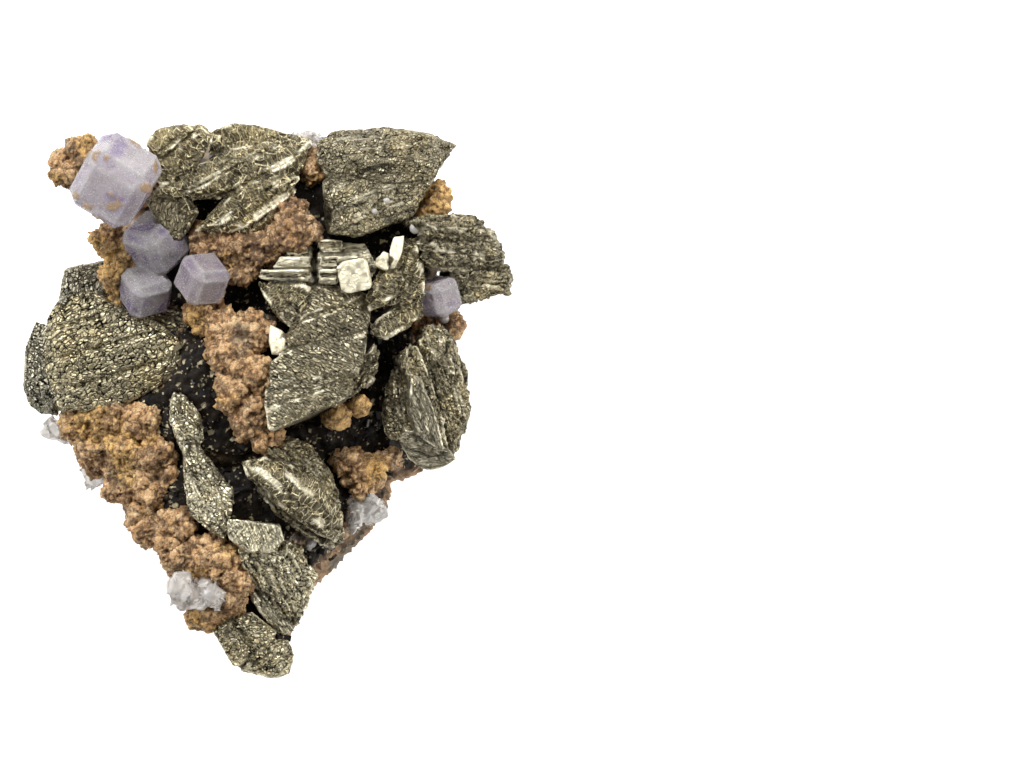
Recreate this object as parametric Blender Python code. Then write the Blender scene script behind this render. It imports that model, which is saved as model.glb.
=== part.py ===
# Arsenopyrite crystals with fluorite, siderite and quartz on a loose piece of matrix.
# The specimen lies on its flat back, with +Z up, +Y towards the top of the display face and
# +X towards its right. The origin is on the flat back, near the middle of the specimen.
# Every length below is in millimetres and is turned into metres when a mesh is made.

import math
import random

import bpy
import bmesh
from mathutils import Vector

METRES_PER_MM = 0.001
SEAT_GAP = 0.3            # clearance between a crystal and what it grew on
CORNER_SPREAD = 0.05      # so no two faces that meet are quite in one plane
FLAT_WITHIN = 3.0         # degrees between faces that are made one
ROUGH_WITHIN = 6.0        # the same, on the matrix
WELD_WITHIN = 0.02        # distance between corners that are made one

# Arsenopyrite crystals are lenses cut lengthwise into ledges of uneven height
LEDGE_OVERLAP = 0.35      # how far a ledge grows into the next one
LEDGE_STEP = 0.38         # the most that a ledge stands above or below the lens
CROWN_FALL = 0.7          # share of its height that a lens loses towards its sides
CROWN_END = 0.17          # where a ledge starts to slope down, as a share of its length
CROWN_SIDE = 0.10         # the same, as a share of its width
OUTLINE_SHARE = 0.4       # how far below its faces a lens is widest, as a share of its crown
KEEL_SHARE = 0.5          # length of a crystal's buried keel, as a share of the crystal

LUMP_SQUASH = 0.9         # a siderite lump's height, as a share of its width
LUMP_UNEVEN = 0.09

MATRIX_FOOT_SHARE = 0.86  # the flat back's width, as a share of the widest outline
MATRIX_SHOULDER = 0.62    # height of the shoulder, between the widest outline and the top
MATRIX_UNEVEN = 0.9

FINISHES = {
    "arsenopyrite": {"colour": (0.36, 0.33, 0.24), "roughness": 0.32, "metallic": 1.0},
    "fluorite": {"colour": (0.55, 0.50, 0.72), "roughness": 0.12, "metallic": 0.0},
    "quartz": {"colour": (0.82, 0.81, 0.84), "roughness": 0.25, "metallic": 0.0},
    "siderite": {"colour": (0.62, 0.40, 0.22), "roughness": 0.85, "metallic": 0.0},
    "matrix": {"colour": (0.30, 0.27, 0.22), "roughness": 0.75, "metallic": 0.0},
}


def crystal(outline, height, slope, grain, ledges, crown=1.6, root=8.0):
    """A crystal's outline seen from above, the height of its middle, how it rises with x
    and y, the direction that its ledges run in, their number, and how far it stands above
    and below its outline."""
    return {"outline": outline, "height": height, "slope": slope, "grain": grain,
            "ledges": ledges, "crown": crown, "root": root}


ARSENOPYRITE = {
    "arsenopyrite_centre": [
        crystal([(2.0, 7.8), (4.4, 9.8), (10.0, 10.2), (12.0, 11.6), (16.8, 11.3), (17.3, 14.6),
                 (17.0, 17.8), (14.5, 18.9), (8.0, 19.2), (6.2, 17.0), (4.2, 13.2)],
                32.6, (-0.12, -0.36), (0.96, 0.28), 2, crown=1.5, root=11),
        crystal([(0.5, 2.9), (0.4, 6.5), (2.4, 7.6), (5.0, 9.4), (10.0, 9.9), (12.0, 11.2),
                 (16.8, 10.8), (16.4, 7.0), (15.2, 4.0), (10.0, 4.8), (5.0, 4.4)],
                35.0, (-0.12, -0.32), (0.94, 0.34), 1, crown=1.5, root=12),
        crystal([(0.4, -4.7), (-0.3, 0.0), (-0.1, 2.3), (5.0, 3.9), (10.0, 4.3), (15.0, 3.5),
                 (14.2, 1.2), (12.2, 0.1), (10.0, -0.9), (6.0, -2.5), (1.6, -4.8)],
                37.0, (-0.14, -0.36), (0.94, 0.34), 2, crown=1.5, root=12),
        crystal([(-1.8, 20.0), (3.0, 19.6), (7.2, 18.9), (6.0, 15.2), (4.0, 12.0),
                 (1.0, 14.3), (-0.8, 17.2)], 32.0, (0.1, -0.3), (0.6, -0.8), 1, root=8),
        crystal([(0.2, 9.6), (0.4, 12.6), (2.4, 11.6), (3.4, 10.8), (2.2, 7.4), (0.7, 7.5)],
                33.4, (0.2, 0.0), (0.3, -0.95), 1, crown=0.8, root=6),
        crystal([(17.1, 14.6), (16.7, 17.6), (18.2, 20.4), (20.4, 22.6), (22.8, 27.2),
                 (25.2, 27.0), (26.1, 22.0), (26.2, 17.4), (24.6, 18.2), (20.4, 15.9)],
                31.2, (-0.35, -0.1), (0.45, 0.9), 2, crown=1.6),
        crystal([(17.2, 11.0), (18.0, 13.4), (20.4, 15.4), (24.6, 17.8), (26.1, 17.0),
                 (26.0, 14.0), (23.4, 13.4), (22.4, 11.4), (19.6, 10.2)],
                30.4, (-0.3, -0.1), (0.85, 0.53), 1, crown=1.3, root=7),
        crystal([(11.6, -0.4), (13.6, 2.8), (16.4, 7.6), (18.0, 9.6), (18.9, 8.0),
                 (18.5, 4.6), (17.6, 3.0), (14.6, 0.6)], 32.6, (-0.3, 0.0), (0.6, 0.8), 1,
                crown=1.2),
        crystal([(0.0, 20.0), (2.4, 25.2), (12.0, 26.4), (16.4, 26.0), (18.6, 22.0),
                 (16.0, 18.6), (8.0, 18.0)], 29.6, (0.02, 0.0), (1.0, 0.02), 1, crown=0.8,
                root=6),
        crystal([(-1.6, 20.2), (-1.2, 21.8), (7.4, 21.7), (7.6, 19.6), (4.0, 19.2)],
                31.6, (0.02, 0.0), (1.0, 0.02), 1, crown=0.9, root=4),
        crystal([(0.8, 22.1), (2.2, 24.0), (7.6, 23.9), (7.8, 22.0)],
                31.9, (0.02, 0.0), (1.0, 0.02), 1, crown=0.9, root=4),
        crystal([(2.6, 24.3), (3.4, 25.7), (6.6, 25.6), (7.2, 24.2)],
                31.0, (0.02, 0.0), (1.0, 0.04), 1, crown=0.9, root=4),
        crystal([(8.5, 19.4), (8.4, 21.9), (12.0, 21.9), (11.9, 19.2)],
                32.0, (0.02, 0.0), (1.0, 0.02), 1, crown=0.9, root=4),
        crystal([(8.6, 22.2), (8.8, 24.0), (17.2, 24.0), (17.4, 22.2)],
                32.3, (0.02, 0.0), (1.0, 0.02), 1, crown=0.9, root=4),
        crystal([(8.3, 24.4), (8.4, 26.9), (12.5, 26.7), (12.9, 24.4)],
                31.2, (0.02, 0.0), (1.0, 0.04), 1, crown=0.9, root=4),
        crystal([(11.7, 21.4), (12.6, 23.6), (16.4, 23.4), (17.1, 21.6), (16.0, 18.8),
                 (14.6, 17.9), (12.2, 19.4)], 33.8, (0.1, 0.1), (1.0, 0.1), 1, crown=0.9),
        crystal([(17.9, 21.9), (17.8, 23.6), (19.8, 24.6), (20.6, 22.0)],
                31.9, (0.1, -0.1), (1.0, 0.1), 1, crown=0.9, root=4),
        crystal([(19.5, 21.8), (20.4, 24.6), (21.0, 27.3), (22.8, 27.4), (22.5, 24.6),
                 (21.2, 21.9)], 32.8, (0.1, -0.1), (0.3, 1.0), 1, crown=0.9),
    ],
    "arsenopyrite_upper_left": [
        crystal([(-20.0, 42.8), (-18.4, 45.0), (-14.8, 46.0), (-10.6, 45.8), (-8.6, 44.4),
                 (-10.4, 40.6), (-13.4, 37.4), (-18.2, 36.0), (-19.0, 39.4)],
                31.2, (-0.10, -0.10), (0.75, 0.66), 2),
        crystal([(-10.6, 44.8), (-6.2, 46.4), (-2.6, 46.2), (1.4, 44.8), (7.8, 43.6),
                 (6.4, 41.8), (-1.0, 41.6), (-9.6, 41.0)], 26.6, (-0.1, -0.25), (1.0, 0.1), 1),
        crystal([(-19.6, 34.2), (-17.0, 36.4), (-12.0, 38.0), (-6.0, 41.8), (0.0, 43.2),
                 (7.6, 43.4), (6.2, 39.4), (5.2, 37.0), (-2.0, 36.0), (-8.0, 33.6),
                 (-14.4, 33.2)], 29.6, (-0.16, -0.05), (0.88, 0.47), 3, crown=1.8),
        crystal([(-12.2, 28.0), (-9.6, 30.8), (-7.2, 33.4), (-2.6, 36.0), (2.0, 37.6),
                 (5.4, 37.2), (4.4, 33.6), (1.2, 29.6), (-1.6, 27.8), (-6.6, 27.6)],
                30.4, (-0.12, 0.12), (0.82, 0.57), 3, crown=1.8),
        crystal([(-20.4, 33.2), (-17.2, 35.6), (-13.4, 35.0), (-11.4, 31.2), (-13.0, 28.2),
                 (-14.6, 26.6), (-16.6, 27.2), (-18.6, 29.8)], 30.0, (0.0, 0.0), (0.6, -0.8), 1),
    ],
    "arsenopyrite_upper_right": [
        crystal([(8.4, 43.8), (10.8, 45.6), (20.0, 46.4), (26.0, 45.8), (31.6, 43.2),
                 (28.6, 39.0), (27.4, 36.4), (18.0, 36.0), (10.0, 37.4), (8.2, 40.6)],
                22.8, (-0.32, -0.85), (0.99, 0.08), 4, crown=2.0, root=9.5),
        crystal([(9.4, 36.8), (12.4, 38.4), (19.0, 38.2), (27.5, 38.4), (27.2, 35.6),
                 (24.2, 30.6), (20.4, 29.4), (15.4, 27.4), (10.6, 28.0), (11.6, 31.6),
                 (9.8, 34.0)], 28.6, (-0.42, -0.55), (0.93, 0.36), 4, crown=2.0, root=8.5),
    ],
    "arsenopyrite_right": [
        crystal([(25.0, 29.6), (28.0, 31.0), (35.0, 30.8), (38.7, 28.2), (38.6, 26.6),
                 (31.0, 26.0), (26.0, 27.4)], 24.6, (-1.2, 0.2), (1.0, -0.06), 2, crown=1.5),
        crystal([(25.4, 27.6), (31.0, 26.8), (38.6, 27.0), (40.1, 24.2), (39.6, 21.8),
                 (28.4, 21.4), (25.8, 23.0)], 22.8, (-1.15, 0.1), (1.0, -0.08), 2, crown=1.5),
        crystal([(30.4, 22.2), (34.0, 22.4), (40.2, 22.8), (41.8, 20.6), (40.8, 17.8),
                 (36.0, 16.6), (32.0, 16.2), (31.4, 19.6)],
                18.6, (-1.1, 0.0), (1.0, -0.05), 2, crown=1.5),
    ],
    "arsenopyrite_left": [
        crystal([(-37.2, 14.2), (-34.8, 17.6), (-30.0, 18.4), (-24.4, 16.2), (-17.8, 12.8),
                 (-13.0, 8.4), (-14.2, 5.4), (-19.2, 1.6), (-24.0, -0.8), (-31.0, -2.0),
                 (-35.4, -1.6), (-37.6, 4.6), (-38.2, 9.8)],
                25.2, (0.17, -0.03), (0.96, 0.27), 4, crown=2.2, root=11),
        crystal([(-41.7, 2.2), (-41.2, 8.6), (-39.4, 13.4), (-36.4, 12.4), (-35.0, 4.0),
                 (-35.4, -2.8), (-38.0, -2.6), (-40.4, -1.2)],
                20.0, (0.3, 0.0), (0.05, 1.0), 1, crown=1.2, root=6),
        crystal([(-34.9, 19.8), (-34.4, 22.2), (-31.6, 22.9), (-27.4, 23.8), (-25.4, 19.6),
                 (-25.0, 14.0), (-30.6, 13.0), (-35.6, 15.0)],
                22.2, (0.0, -0.2), (1.0, 0.2), 1, root=10),
        crystal([(-35.2, 0.4), (-28.0, 1.6), (-20.8, 1.6), (-22.8, -0.9), (-29.0, -2.0),
                 (-34.8, -2.9)], 22.2, (0.1, 0.2), (1.0, 0.12), 1, crown=1.2, root=7),
        crystal([(-25.0, 16.8), (-20.0, 15.2), (-14.8, 15.0), (-12.2, 12.4), (-11.6, 9.6),
                 (-13.4, 7.6), (-17.4, 9.8), (-24.0, 12.6)],
                23.6, (0.05, -0.2), (0.92, -0.38), 1, crown=1.4, root=8),
    ],
    "arsenopyrite_right_lower": [
        crystal([(26.4, 12.4), (29.2, 12.9), (31.0, 10.4), (33.0, 6.4), (34.1, 0.0),
                 (33.6, -4.6), (32.3, -7.2), (31.3, -10.0), (29.8, -8.6), (29.4, -3.0),
                 (28.2, 1.8), (27.0, 5.2), (25.8, 9.2)],
                24.4, (-0.95, 0.0), (0.26, -0.96), 4, crown=1.5),
        crystal([(23.9, 9.2), (25.0, 8.8), (26.2, 6.2), (27.8, 2.4), (29.5, -3.2),
                 (30.3, -8.6), (29.2, -8.0), (26.6, -2.4), (24.4, 2.4), (23.2, 4.8),
                 (23.4, 7.6)], 30.4, (-0.6, 0.1), (0.36, -0.93), 1, crown=1.2),
        crystal([(24.0, 3.7), (25.6, 4.1), (26.6, 1.8), (28.2, -2.8), (29.7, -8.6),
                 (28.4, -8.2), (26.6, -6.2), (24.8, -5.6), (23.9, -2.6)],
                33.0, (-0.4, 0.1), (0.36, -0.93), 1, crown=1.3),
        crystal([(22.0, 8.4), (24.2, 8.0), (25.4, 3.0), (25.0, -6.4), (19.6, -6.6),
                 (18.6, -3.0), (19.2, 2.2)], 26.6, (0.3, 0.0), (0.15, -1.0), 2, crown=1.4),
        crystal([(21.6, -6.8), (22.8, -5.2), (25.4, -5.2), (27.6, -6.6), (30.0, -8.6),
                 (31.3, -10.0), (29.6, -11.4), (26.0, -11.8), (23.4, -10.0)],
                28.0, (0.0, 0.55), (1.0, -0.2), 1, crown=1.0, root=7),
    ],
    "arsenopyrite_blade": [
        crystal([(-15.6, 1.5), (-13.8, 0.8), (-11.2, -2.4), (-10.5, -6.6), (-12.6, -9.6),
                 (-14.6, -8.4), (-16.5, -3.4), (-16.3, -0.4)],
                30.0, (0.0, 0.05), (0.35, -0.9), 1, crown=1.3),
        crystal([(-14.4, -5.8), (-12.4, -6.2), (-8.8, -12.0), (-5.6, -15.2), (-6.8, -18.6),
                 (-6.2, -21.8), (-7.2, -23.1), (-10.0, -21.8), (-13.4, -18.6),
                 (-14.2, -12.0)], 30.4, (0.08, 0.0), (0.38, -0.92), 3, crown=1.5),
    ],
    "arsenopyrite_lower_middle": [
        crystal([(-3.9, -10.4), (0.0, -9.6), (4.6, -11.0), (9.0, -14.0), (12.6, -17.6),
                 (12.9, -22.4), (11.6, -24.2), (6.8, -21.4), (2.0, -17.6), (-2.8, -13.2)],
                31.6, (-0.42, 0.30), (0.74, -0.67), 3, crown=1.8, root=10),
        crystal([(-2.2, -14.4), (2.8, -17.2), (8.6, -21.2), (12.7, -22.0), (12.8, -24.2),
                 (10.6, -24.9), (6.6, -23.2), (1.4, -18.6)],
                27.8, (-0.45, 0.5), (0.80, -0.60), 1, crown=1.2),
        crystal([(-0.6, -8.8), (2.0, -5.6), (5.4, -6.2), (9.0, -8.8), (11.4, -12.6),
                 (12.2, -16.4), (7.8, -13.8), (3.0, -10.2)],
                29.8, (-0.38, -0.2), (0.74, -0.67), 2, crown=1.4),
    ],
    "arsenopyrite_bottom": [
        crystal([(-6.9, -19.6), (-2.6, -20.2), (2.2, -20.6), (3.0, -23.4), (0.8, -25.6),
                 (-3.6, -25.4), (-6.2, -23.2)], 29.8, (-0.4, 0.1), (0.9, -0.4), 1, crown=1.3),
        crystal([(-4.6, -24.8), (0.0, -24.2), (3.2, -21.8), (6.0, -25.0), (8.1, -29.6),
                 (7.2, -33.4), (5.0, -38.0), (2.6, -37.0), (0.0, -32.8), (-3.8, -27.8)],
                24.6, (-0.7, 0.1), (0.45, -0.9), 3, crown=1.8, root=8),
        crystal([(-3.6, -29.8), (-1.2, -30.4), (2.2, -34.0), (4.6, -38.9), (2.2, -39.4),
                 (-0.6, -37.0), (-3.0, -33.4)], 24.0, (-0.2, 0.2), (0.6, -0.8), 1,
                crown=0.8, root=6),
    ],
    "arsenopyrite_tip": [
        crystal([(-9.6, -38.2), (-6.4, -35.6), (-2.6, -35.4), (1.4, -38.6), (0.6, -42.4),
                 (-2.4, -45.4), (-6.0, -44.4)], 25.4, (0.0, 0.0), (0.6, -0.8), 2, root=10),
        crystal([(-4.6, -45.4), (-5.0, -42.0), (-1.0, -39.8), (3.4, -40.2), (4.4, -42.6),
                 (3.6, -45.6), (1.6, -46.6)], 25.0, (-0.1, 0.1), (0.9, 0.3), 2, root=9),
    ],
}

FLUORITE = {
    "fluorite_large": [{"centre": (-25.0, 36.5, 36.2), "radius": 7.3, "turn": (32, 0, -31)}],
    "fluorite_pair": [
        {"centre": (-18.7, 26.2, 26.6), "radius": 5.3, "turn": (38, 28, 44)},
        {"centre": (-20.5, 18.4, 26.0), "radius": 4.6, "turn": (50, 24, 15)},
    ],
    "fluorite_middle": [{"centre": (-10.8, 20.1, 31.0), "radius": 4.5, "turn": (42, 34, 5)}],
    "fluorite_right": [{"centre": (28.5, 17.3, 24.6), "radius": 3.7, "turn": (24, 40, 30)}],
}
FLUORITE_FACE = 0.80      # distance of a cube face from the middle, as a share of the radius
FLUORITE_EDGE = 0.52      # half the width of a cube face, in the same way

QUARTZ = {
    "quartz_lower_left": [
        {"centre": (-14.6, -31.2, 26.5), "size": (2.6, 3.6, 5.0)},
        {"centre": (-12.4, -33.2, 26.0), "size": (3.6, 2.6, 5.0)},
        {"centre": (-9.6, -32.0, 26.5), "size": (2.8, 3.6, 5.5)},
    ],
    "quartz_right_lower": [
        {"centre": (14.2, -19.4, 19.5), "size": (2.2, 3.6, 7.0)},
        {"centre": (17.2, -17.8, 17.5), "size": (3.4, 3.0, 7.5)},
        {"centre": (20.8, -13.2, 19.0), "size": (3.0, 4.0, 6.5)},
    ],
    "quartz_gap": [{"centre": (6.2, -23.0, 18.5), "size": (2.8, 3.0, 6.0)}],
    "quartz_left_upper": [{"centre": (-35.4, -4.9, 13.0), "size": (3.4, 2.8, 5.5)}],
    "quartz_left_lower": [
        {"centre": (-28.6, -12.2, 12.5), "size": (3.4, 3.2, 6.5)},
        {"centre": (-25.0, -16.8, 12.0), "size": (3.2, 3.6, 6.0)},
    ],
    "quartz_top": [
        {"centre": (0.8, 43.8, 19.5), "size": (2.2, 2.4, 4.5)},
        {"centre": (4.2, 43.2, 20.0), "size": (2.6, 2.2, 4.5)},
        {"centre": (7.4, 43.2, 19.5), "size": (2.4, 2.4, 4.5)},
    ],
    "quartz_right_flank": [
        {"centre": (26.8, 8.6, 12.0), "size": (5.6, 5.6, 6.5)},
        {"centre": (28.0, 1.5, 11.0), "size": (5.2, 6.4, 6.5)},
        {"centre": (26.6, -5.8, 10.5), "size": (5.0, 5.6, 6.0)},
    ],
}
QUARTZ_CORNERS = 13

# Each lump is a middle and a radius.
SIDERITE = {
    "siderite_upper_left": [
        ((-32.6, 38.4, 27.0), 3.2), ((-30.4, 41.2, 28.0), 2.8), ((-27.6, 37.2, 23.5), 4.6),
        ((-23.0, 36.6, 19.5), 4.8),
    ],
    "siderite_fluorite_seat": [
        ((-26.4, 26.2, 24.5), 2.9), ((-24.8, 21.8, 24.5), 3.2), ((-24.4, 18.4, 24.0), 2.4),
        ((-20.6, 23.0, 20.5), 4.6), ((-15.6, 22.6, 25.5), 3.4), ((-15.4, 18.2, 25.5), 2.8),
    ],
    "siderite_upper_middle": [
        ((-10.4, 26.0, 26.6), 3.1), ((-5.4, 25.2, 27.6), 3.8), ((-4.6, 22.0, 27.6), 3.0),
        ((0.4, 25.8, 28.2), 3.7), ((4.6, 28.0, 29.2), 3.6), ((3.6, 31.4, 28.6), 2.6),
    ],
    "siderite_centre": [
        ((-10.6, 15.0, 27.6), 3.2), ((-7.2, 11.8, 28.6), 3.4), ((-2.8, 10.8, 30.6), 3.5),
        ((-5.8, 6.6, 30.6), 3.8), ((-2.0, 4.4, 31.8), 3.2), ((-5.0, 1.2, 30.8), 3.4),
        ((-2.2, -2.6, 31.4), 3.4), ((0.0, -5.6, 30.6), 2.7),
    ],
    "siderite_left_flank": [
        ((-31.4, -4.4, 19.6), 3.8), ((-26.4, -3.4, 21.8), 4.0), ((-20.6, -3.4, 23.6), 4.0),
        ((-28.2, -8.6, 18.8), 3.8), ((-23.2, -8.6, 21.8), 4.0), ((-18.2, -8.6, 24.6), 3.6),
        ((-23.4, -13.6, 19.8), 4.0), ((-18.2, -14.4, 23.6), 4.2), ((-19.0, -20.2, 21.6), 4.0),
        ((-14.8, -20.8, 24.8), 3.6), ((-14.6, -25.8, 24.6), 3.6), ((-9.4, -26.2, 26.4), 3.8),
        ((-6.0, -29.6, 26.0), 3.6), ((-7.0, -34.2, 24.6), 2.8), ((-10.6, -35.0, 23.6), 2.6),
    ],
    "siderite_upper_right": [
        ((27.6, 33.6, 18.4), 2.8), ((24.8, 31.6, 17.0), 3.8),
    ],
    "siderite_top_gap": [((7.8, 39.2, 24.0), 2.5), ((6.8, 37.4, 20.5), 3.2)],
    "siderite_right_pocket": [
        ((14.6, -12.6, 21.8), 3.2), ((18.4, -11.2, 21.2), 3.0), ((12.4, -9.2, 23.0), 2.6),
        ((14.2, -4.8, 24.0), 3.4),
    ],
    "siderite_right_flank": [((29.6, 12.4, 16.4), 3.2), ((26.4, 12.6, 14.5), 3.8)],
    "siderite_drops": [
        ((7.8, -2.5, 33.0), 2.0), ((11.4, -2.4, 30.4), 2.7), ((15.4, -0.9, 30.8), 2.0),
    ],
}

# Each block of matrix has an outline at its widest, seen from above.
MATRIX = [
    {"outline": [(-24, 32), (-17, 41), (-5, 43.5), (10, 43.5), (24, 40), (28, 31), (28, 14),
                 (0, 6), (-26, 14), (-28, 24)],
     "foot": 0.0, "widest": 11.0, "top": 24.0, "top_share": 0.76},
    {"outline": [(-33, 16), (-35, 4), (-34, -6), (-29, -13), (-14, -18), (8, -18),
                 (25.4, -13), (31, -2), (31, 9), (27, 18), (-5, 24)],
     "foot": 0.0, "widest": 9.0, "top": 27.5, "top_share": 0.46},
    {"outline": [(-29, -12), (-26.4, -18), (-22.4, -20.8), (-14.6, -29.6), (-9, -35.6),
                 (4, -35), (7, -28), (17.4, -21.4), (21, -15), (12, 0), (-18, 0)],
     "foot": 0.0, "widest": 11.0, "top": 25.5, "top_share": 0.52},
    {"outline": [(-8.6, -30), (-8.4, -37), (-5.4, -42), (1, -43), (3.4, -39), (5, -30)],
     "foot": 9.0, "widest": 15.0, "top": 22.0, "top_share": 0.85},
]


# Points of each kind of shape

def jittered(point, rng, spread):
    return point + Vector([rng.uniform(-spread, spread) for _ in range(3)])


def clipped(outline, side, limit, keep_below):
    """The part of a flat outline where its distance along side is on one side of limit."""
    kept = []
    for here, there in zip(outline, outline[1:] + outline[:1]):
        a, b = here.dot(side) - limit, there.dot(side) - limit
        if not keep_below:
            a, b = -a, -b
        if a <= 0:
            kept.append(here)
        if (a < 0 < b) or (b < 0 < a):
            kept.append(here.lerp(there, a / (a - b)))
    return kept


def crystal_frame(piece):
    """A crystal's outline, its grain, the direction across that, and its middle."""
    outline = [Vector(point) for point in piece["outline"]]
    grain = Vector(piece["grain"]).normalized()
    return outline, grain, Vector((-grain.y, grain.x)), sum(outline, Vector((0, 0))) / len(outline)


def lifted(piece, middle, flat, height):
    """A point of the outline's plane, moved out of it by height."""
    slope_x, slope_y = piece["slope"]
    out = Vector((-slope_x, -slope_y, 1.0)).normalized()
    rise = slope_x * (flat.x - middle.x) + slope_y * (flat.y - middle.y)
    return Vector((flat.x, flat.y, piece["height"] + rise)) + out * height


def ledge_points(piece, number, rng):
    """Corner points of one ledge of a crystal."""
    outline, grain, side, middle = crystal_frame(piece)
    reach = [point.dot(side) for point in outline]
    low, high, count = min(reach), max(reach), piece["ledges"]
    width = (high - low) / count
    first = low + width * number
    band = clipped(outline, side, first - LEDGE_OVERLAP, False)
    band = clipped(band, side, first + width + LEDGE_OVERLAP, True)
    lift = rng.uniform(-LEDGE_STEP, LEDGE_STEP) if count > 1 else 0.0
    edge = -OUTLINE_SHARE * piece["crown"]
    points = [jittered(lifted(piece, middle, flat, edge + 0.3 * lift), rng, CORNER_SPREAD)
              for flat in band]
    for side_share in (CROWN_SIDE, 1.0 - CROWN_SIDE):
        across = first + width * side_share
        start, end = ends_at(outline, grain, side, across)
        for end_share in (CROWN_END, 1.0 - CROWN_END):
            off_middle = (2.0 * across - low - high) / (high - low)
            height = edge + piece["crown"] * (1.0 - CROWN_FALL * off_middle ** 2) + lift
            flat = grain * (start + (end - start) * end_share) + side * across
            points.append(jittered(lifted(piece, middle, flat, height), rng, CORNER_SPREAD))
    for way in (-1.0, 1.0):
        flat = middle + grain * way * piece_length(outline, grain) * KEEL_SHARE / 2.0
        points.append(jittered(lifted(piece, middle, flat, -piece["root"]), rng,
                               CORNER_SPREAD))
    return points


def ends_at(outline, grain, side, across):
    """Where the outline starts and ends, along its grain, at one distance across it."""
    found = []
    for here, there in zip(outline, outline[1:] + outline[:1]):
        a, b = here.dot(side) - across, there.dot(side) - across
        if a * b < 0:
            found.append(here.lerp(there, a / (a - b)).dot(grain))
    return min(found), max(found)


def piece_length(outline, grain):
    along = [point.dot(grain) for point in outline]
    return max(along) - min(along)


def fluorite_points(crystal):
    """A cube whose edges and corners are cut by smaller faces."""
    face, edge = FLUORITE_FACE * crystal["radius"], FLUORITE_EDGE * crystal["radius"]
    turn = [math.radians(degrees) for degrees in crystal["turn"]]
    points = []
    for axis in range(3):
        for signs in range(8):
            corner = [edge, edge, edge]
            corner[axis] = face
            point = Vector([value if signs >> i & 1 else -value
                            for i, value in enumerate(corner)])
            for name, angle in zip("XYZ", turn):
                point = rotated(point, name, angle)
            points.append(Vector(crystal["centre"]) + point)
    return points


def rotated(point, axis, angle):
    c, s = math.cos(angle), math.sin(angle)
    x, y, z = point
    if axis == "X":
        return Vector((x, y * c - z * s, y * s + z * c))
    if axis == "Y":
        return Vector((x * c + z * s, y, -x * s + z * c))
    return Vector((x * c - y * s, x * s + y * c, z))


def quartz_points(block, rng):
    """An uneven block, with flat faces where it broke or grew."""
    points = []
    for _ in range(QUARTZ_CORNERS):
        way = Vector([rng.gauss(0, 1) for _ in range(3)]).normalized()
        points.append(Vector(block["centre"])
                      + Vector([way[i] * block["size"][i] for i in range(3)]))
    return points


def block_points(block, rng):
    """A block of matrix: a flat foot, its widest outline, a shoulder and a smaller top."""
    outline = [Vector((x, y, 0)) for x, y in block["outline"]]
    middle = sum(outline, Vector()) / len(outline)
    rise = block["top"] - block["widest"]
    shoulder = block["widest"] + rise * MATRIX_SHOULDER
    shoulder_share = (1.0 + block["top_share"]) / 2.0 + 0.04
    points = []
    for height, share in ((block["foot"], MATRIX_FOOT_SHARE), (block["widest"], 1.0),
                          (shoulder, shoulder_share), (block["top"], block["top_share"])):
        uneven = 0.0 if height == 0.0 else MATRIX_UNEVEN
        for corner in outline:
            spot = middle + (corner - middle) * share + Vector((0, 0, height))
            points.append(jittered(spot, rng, uneven))
    return points


# Meshes

def new_collection(name, hidden=False):
    collection = bpy.data.collections.new(name)
    bpy.context.scene.collection.children.link(collection)
    collection.hide_render = hidden
    return collection


def object_of(name, bm, collection):
    bmesh.ops.triangulate(bm, faces=bm.faces)
    bmesh.ops.recalc_face_normals(bm, faces=bm.faces)
    mesh = bpy.data.meshes.new(name)
    bm.to_mesh(mesh)
    bm.free()
    made = bpy.data.objects.new(name, mesh)
    collection.objects.link(made)
    return made


def hull_object(name, points, collection):
    """The convex solid round points."""
    bm = bmesh.new()
    for point in points:
        bm.verts.new(point * METRES_PER_MM)
    bmesh.ops.convex_hull(bm, input=bm.verts)
    bmesh.ops.delete(bm, geom=[v for v in bm.verts if not v.link_faces], context="VERTS")
    return object_of(name, bm, collection)


def lump_object(name, centre, radius, collection, rng):
    """A slightly uneven lump."""
    bm = bmesh.new()
    bmesh.ops.create_icosphere(bm, subdivisions=1, radius=radius * METRES_PER_MM)
    for vert in bm.verts:
        vert.co *= 1.08 + rng.uniform(-LUMP_UNEVEN, LUMP_UNEVEN)
        vert.co.z *= LUMP_SQUASH
        vert.co += Vector(centre) * METRES_PER_MM
    return object_of(name, bm, collection)


def grown_object(shape, collection):
    """A copy of a convex shape, larger all round by the seat gap, for a cutter."""
    bm = bmesh.new()
    bm.from_mesh(shape.data)
    bm.normal_update()
    ways = [vert.normal * min(vert.calc_shell_factor(), 2.0) for vert in bm.verts]
    for vert, way in zip(bm.verts, ways):
        vert.co += way * SEAT_GAP * METRES_PER_MM
    return object_of(f"{shape.name}_cutter", bm, collection)


def boolean_of(target, others, operation):
    """Joins target to other objects, or cuts it with them, and bakes the result."""
    if not others:
        return
    group = bpy.data.collections.new("operands")
    bpy.context.scene.collection.children.link(group)
    for other in others:
        group.objects.link(other)
    modifier = target.modifiers.new(operation, "BOOLEAN")
    modifier.operation = operation
    modifier.operand_type = "COLLECTION"
    modifier.collection = group
    modifier.solver = "EXACT"
    bpy.context.view_layer.update()
    evaluated = target.evaluated_get(bpy.context.evaluated_depsgraph_get())
    mesh = bpy.data.meshes.new_from_object(evaluated)
    target.modifiers.clear()
    target.data = mesh
    bpy.data.collections.remove(group)


def body_of(vert, left):
    """All the points joined to vert by edges, taken out of left."""
    body, edge = [], [vert]
    left.discard(vert)
    while edge:
        here = edge.pop()
        body.append(here)
        for link in here.link_edges:
            other = link.other_vert(here)
            if other in left:
                left.remove(other)
                edge.append(other)
    return body


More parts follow.
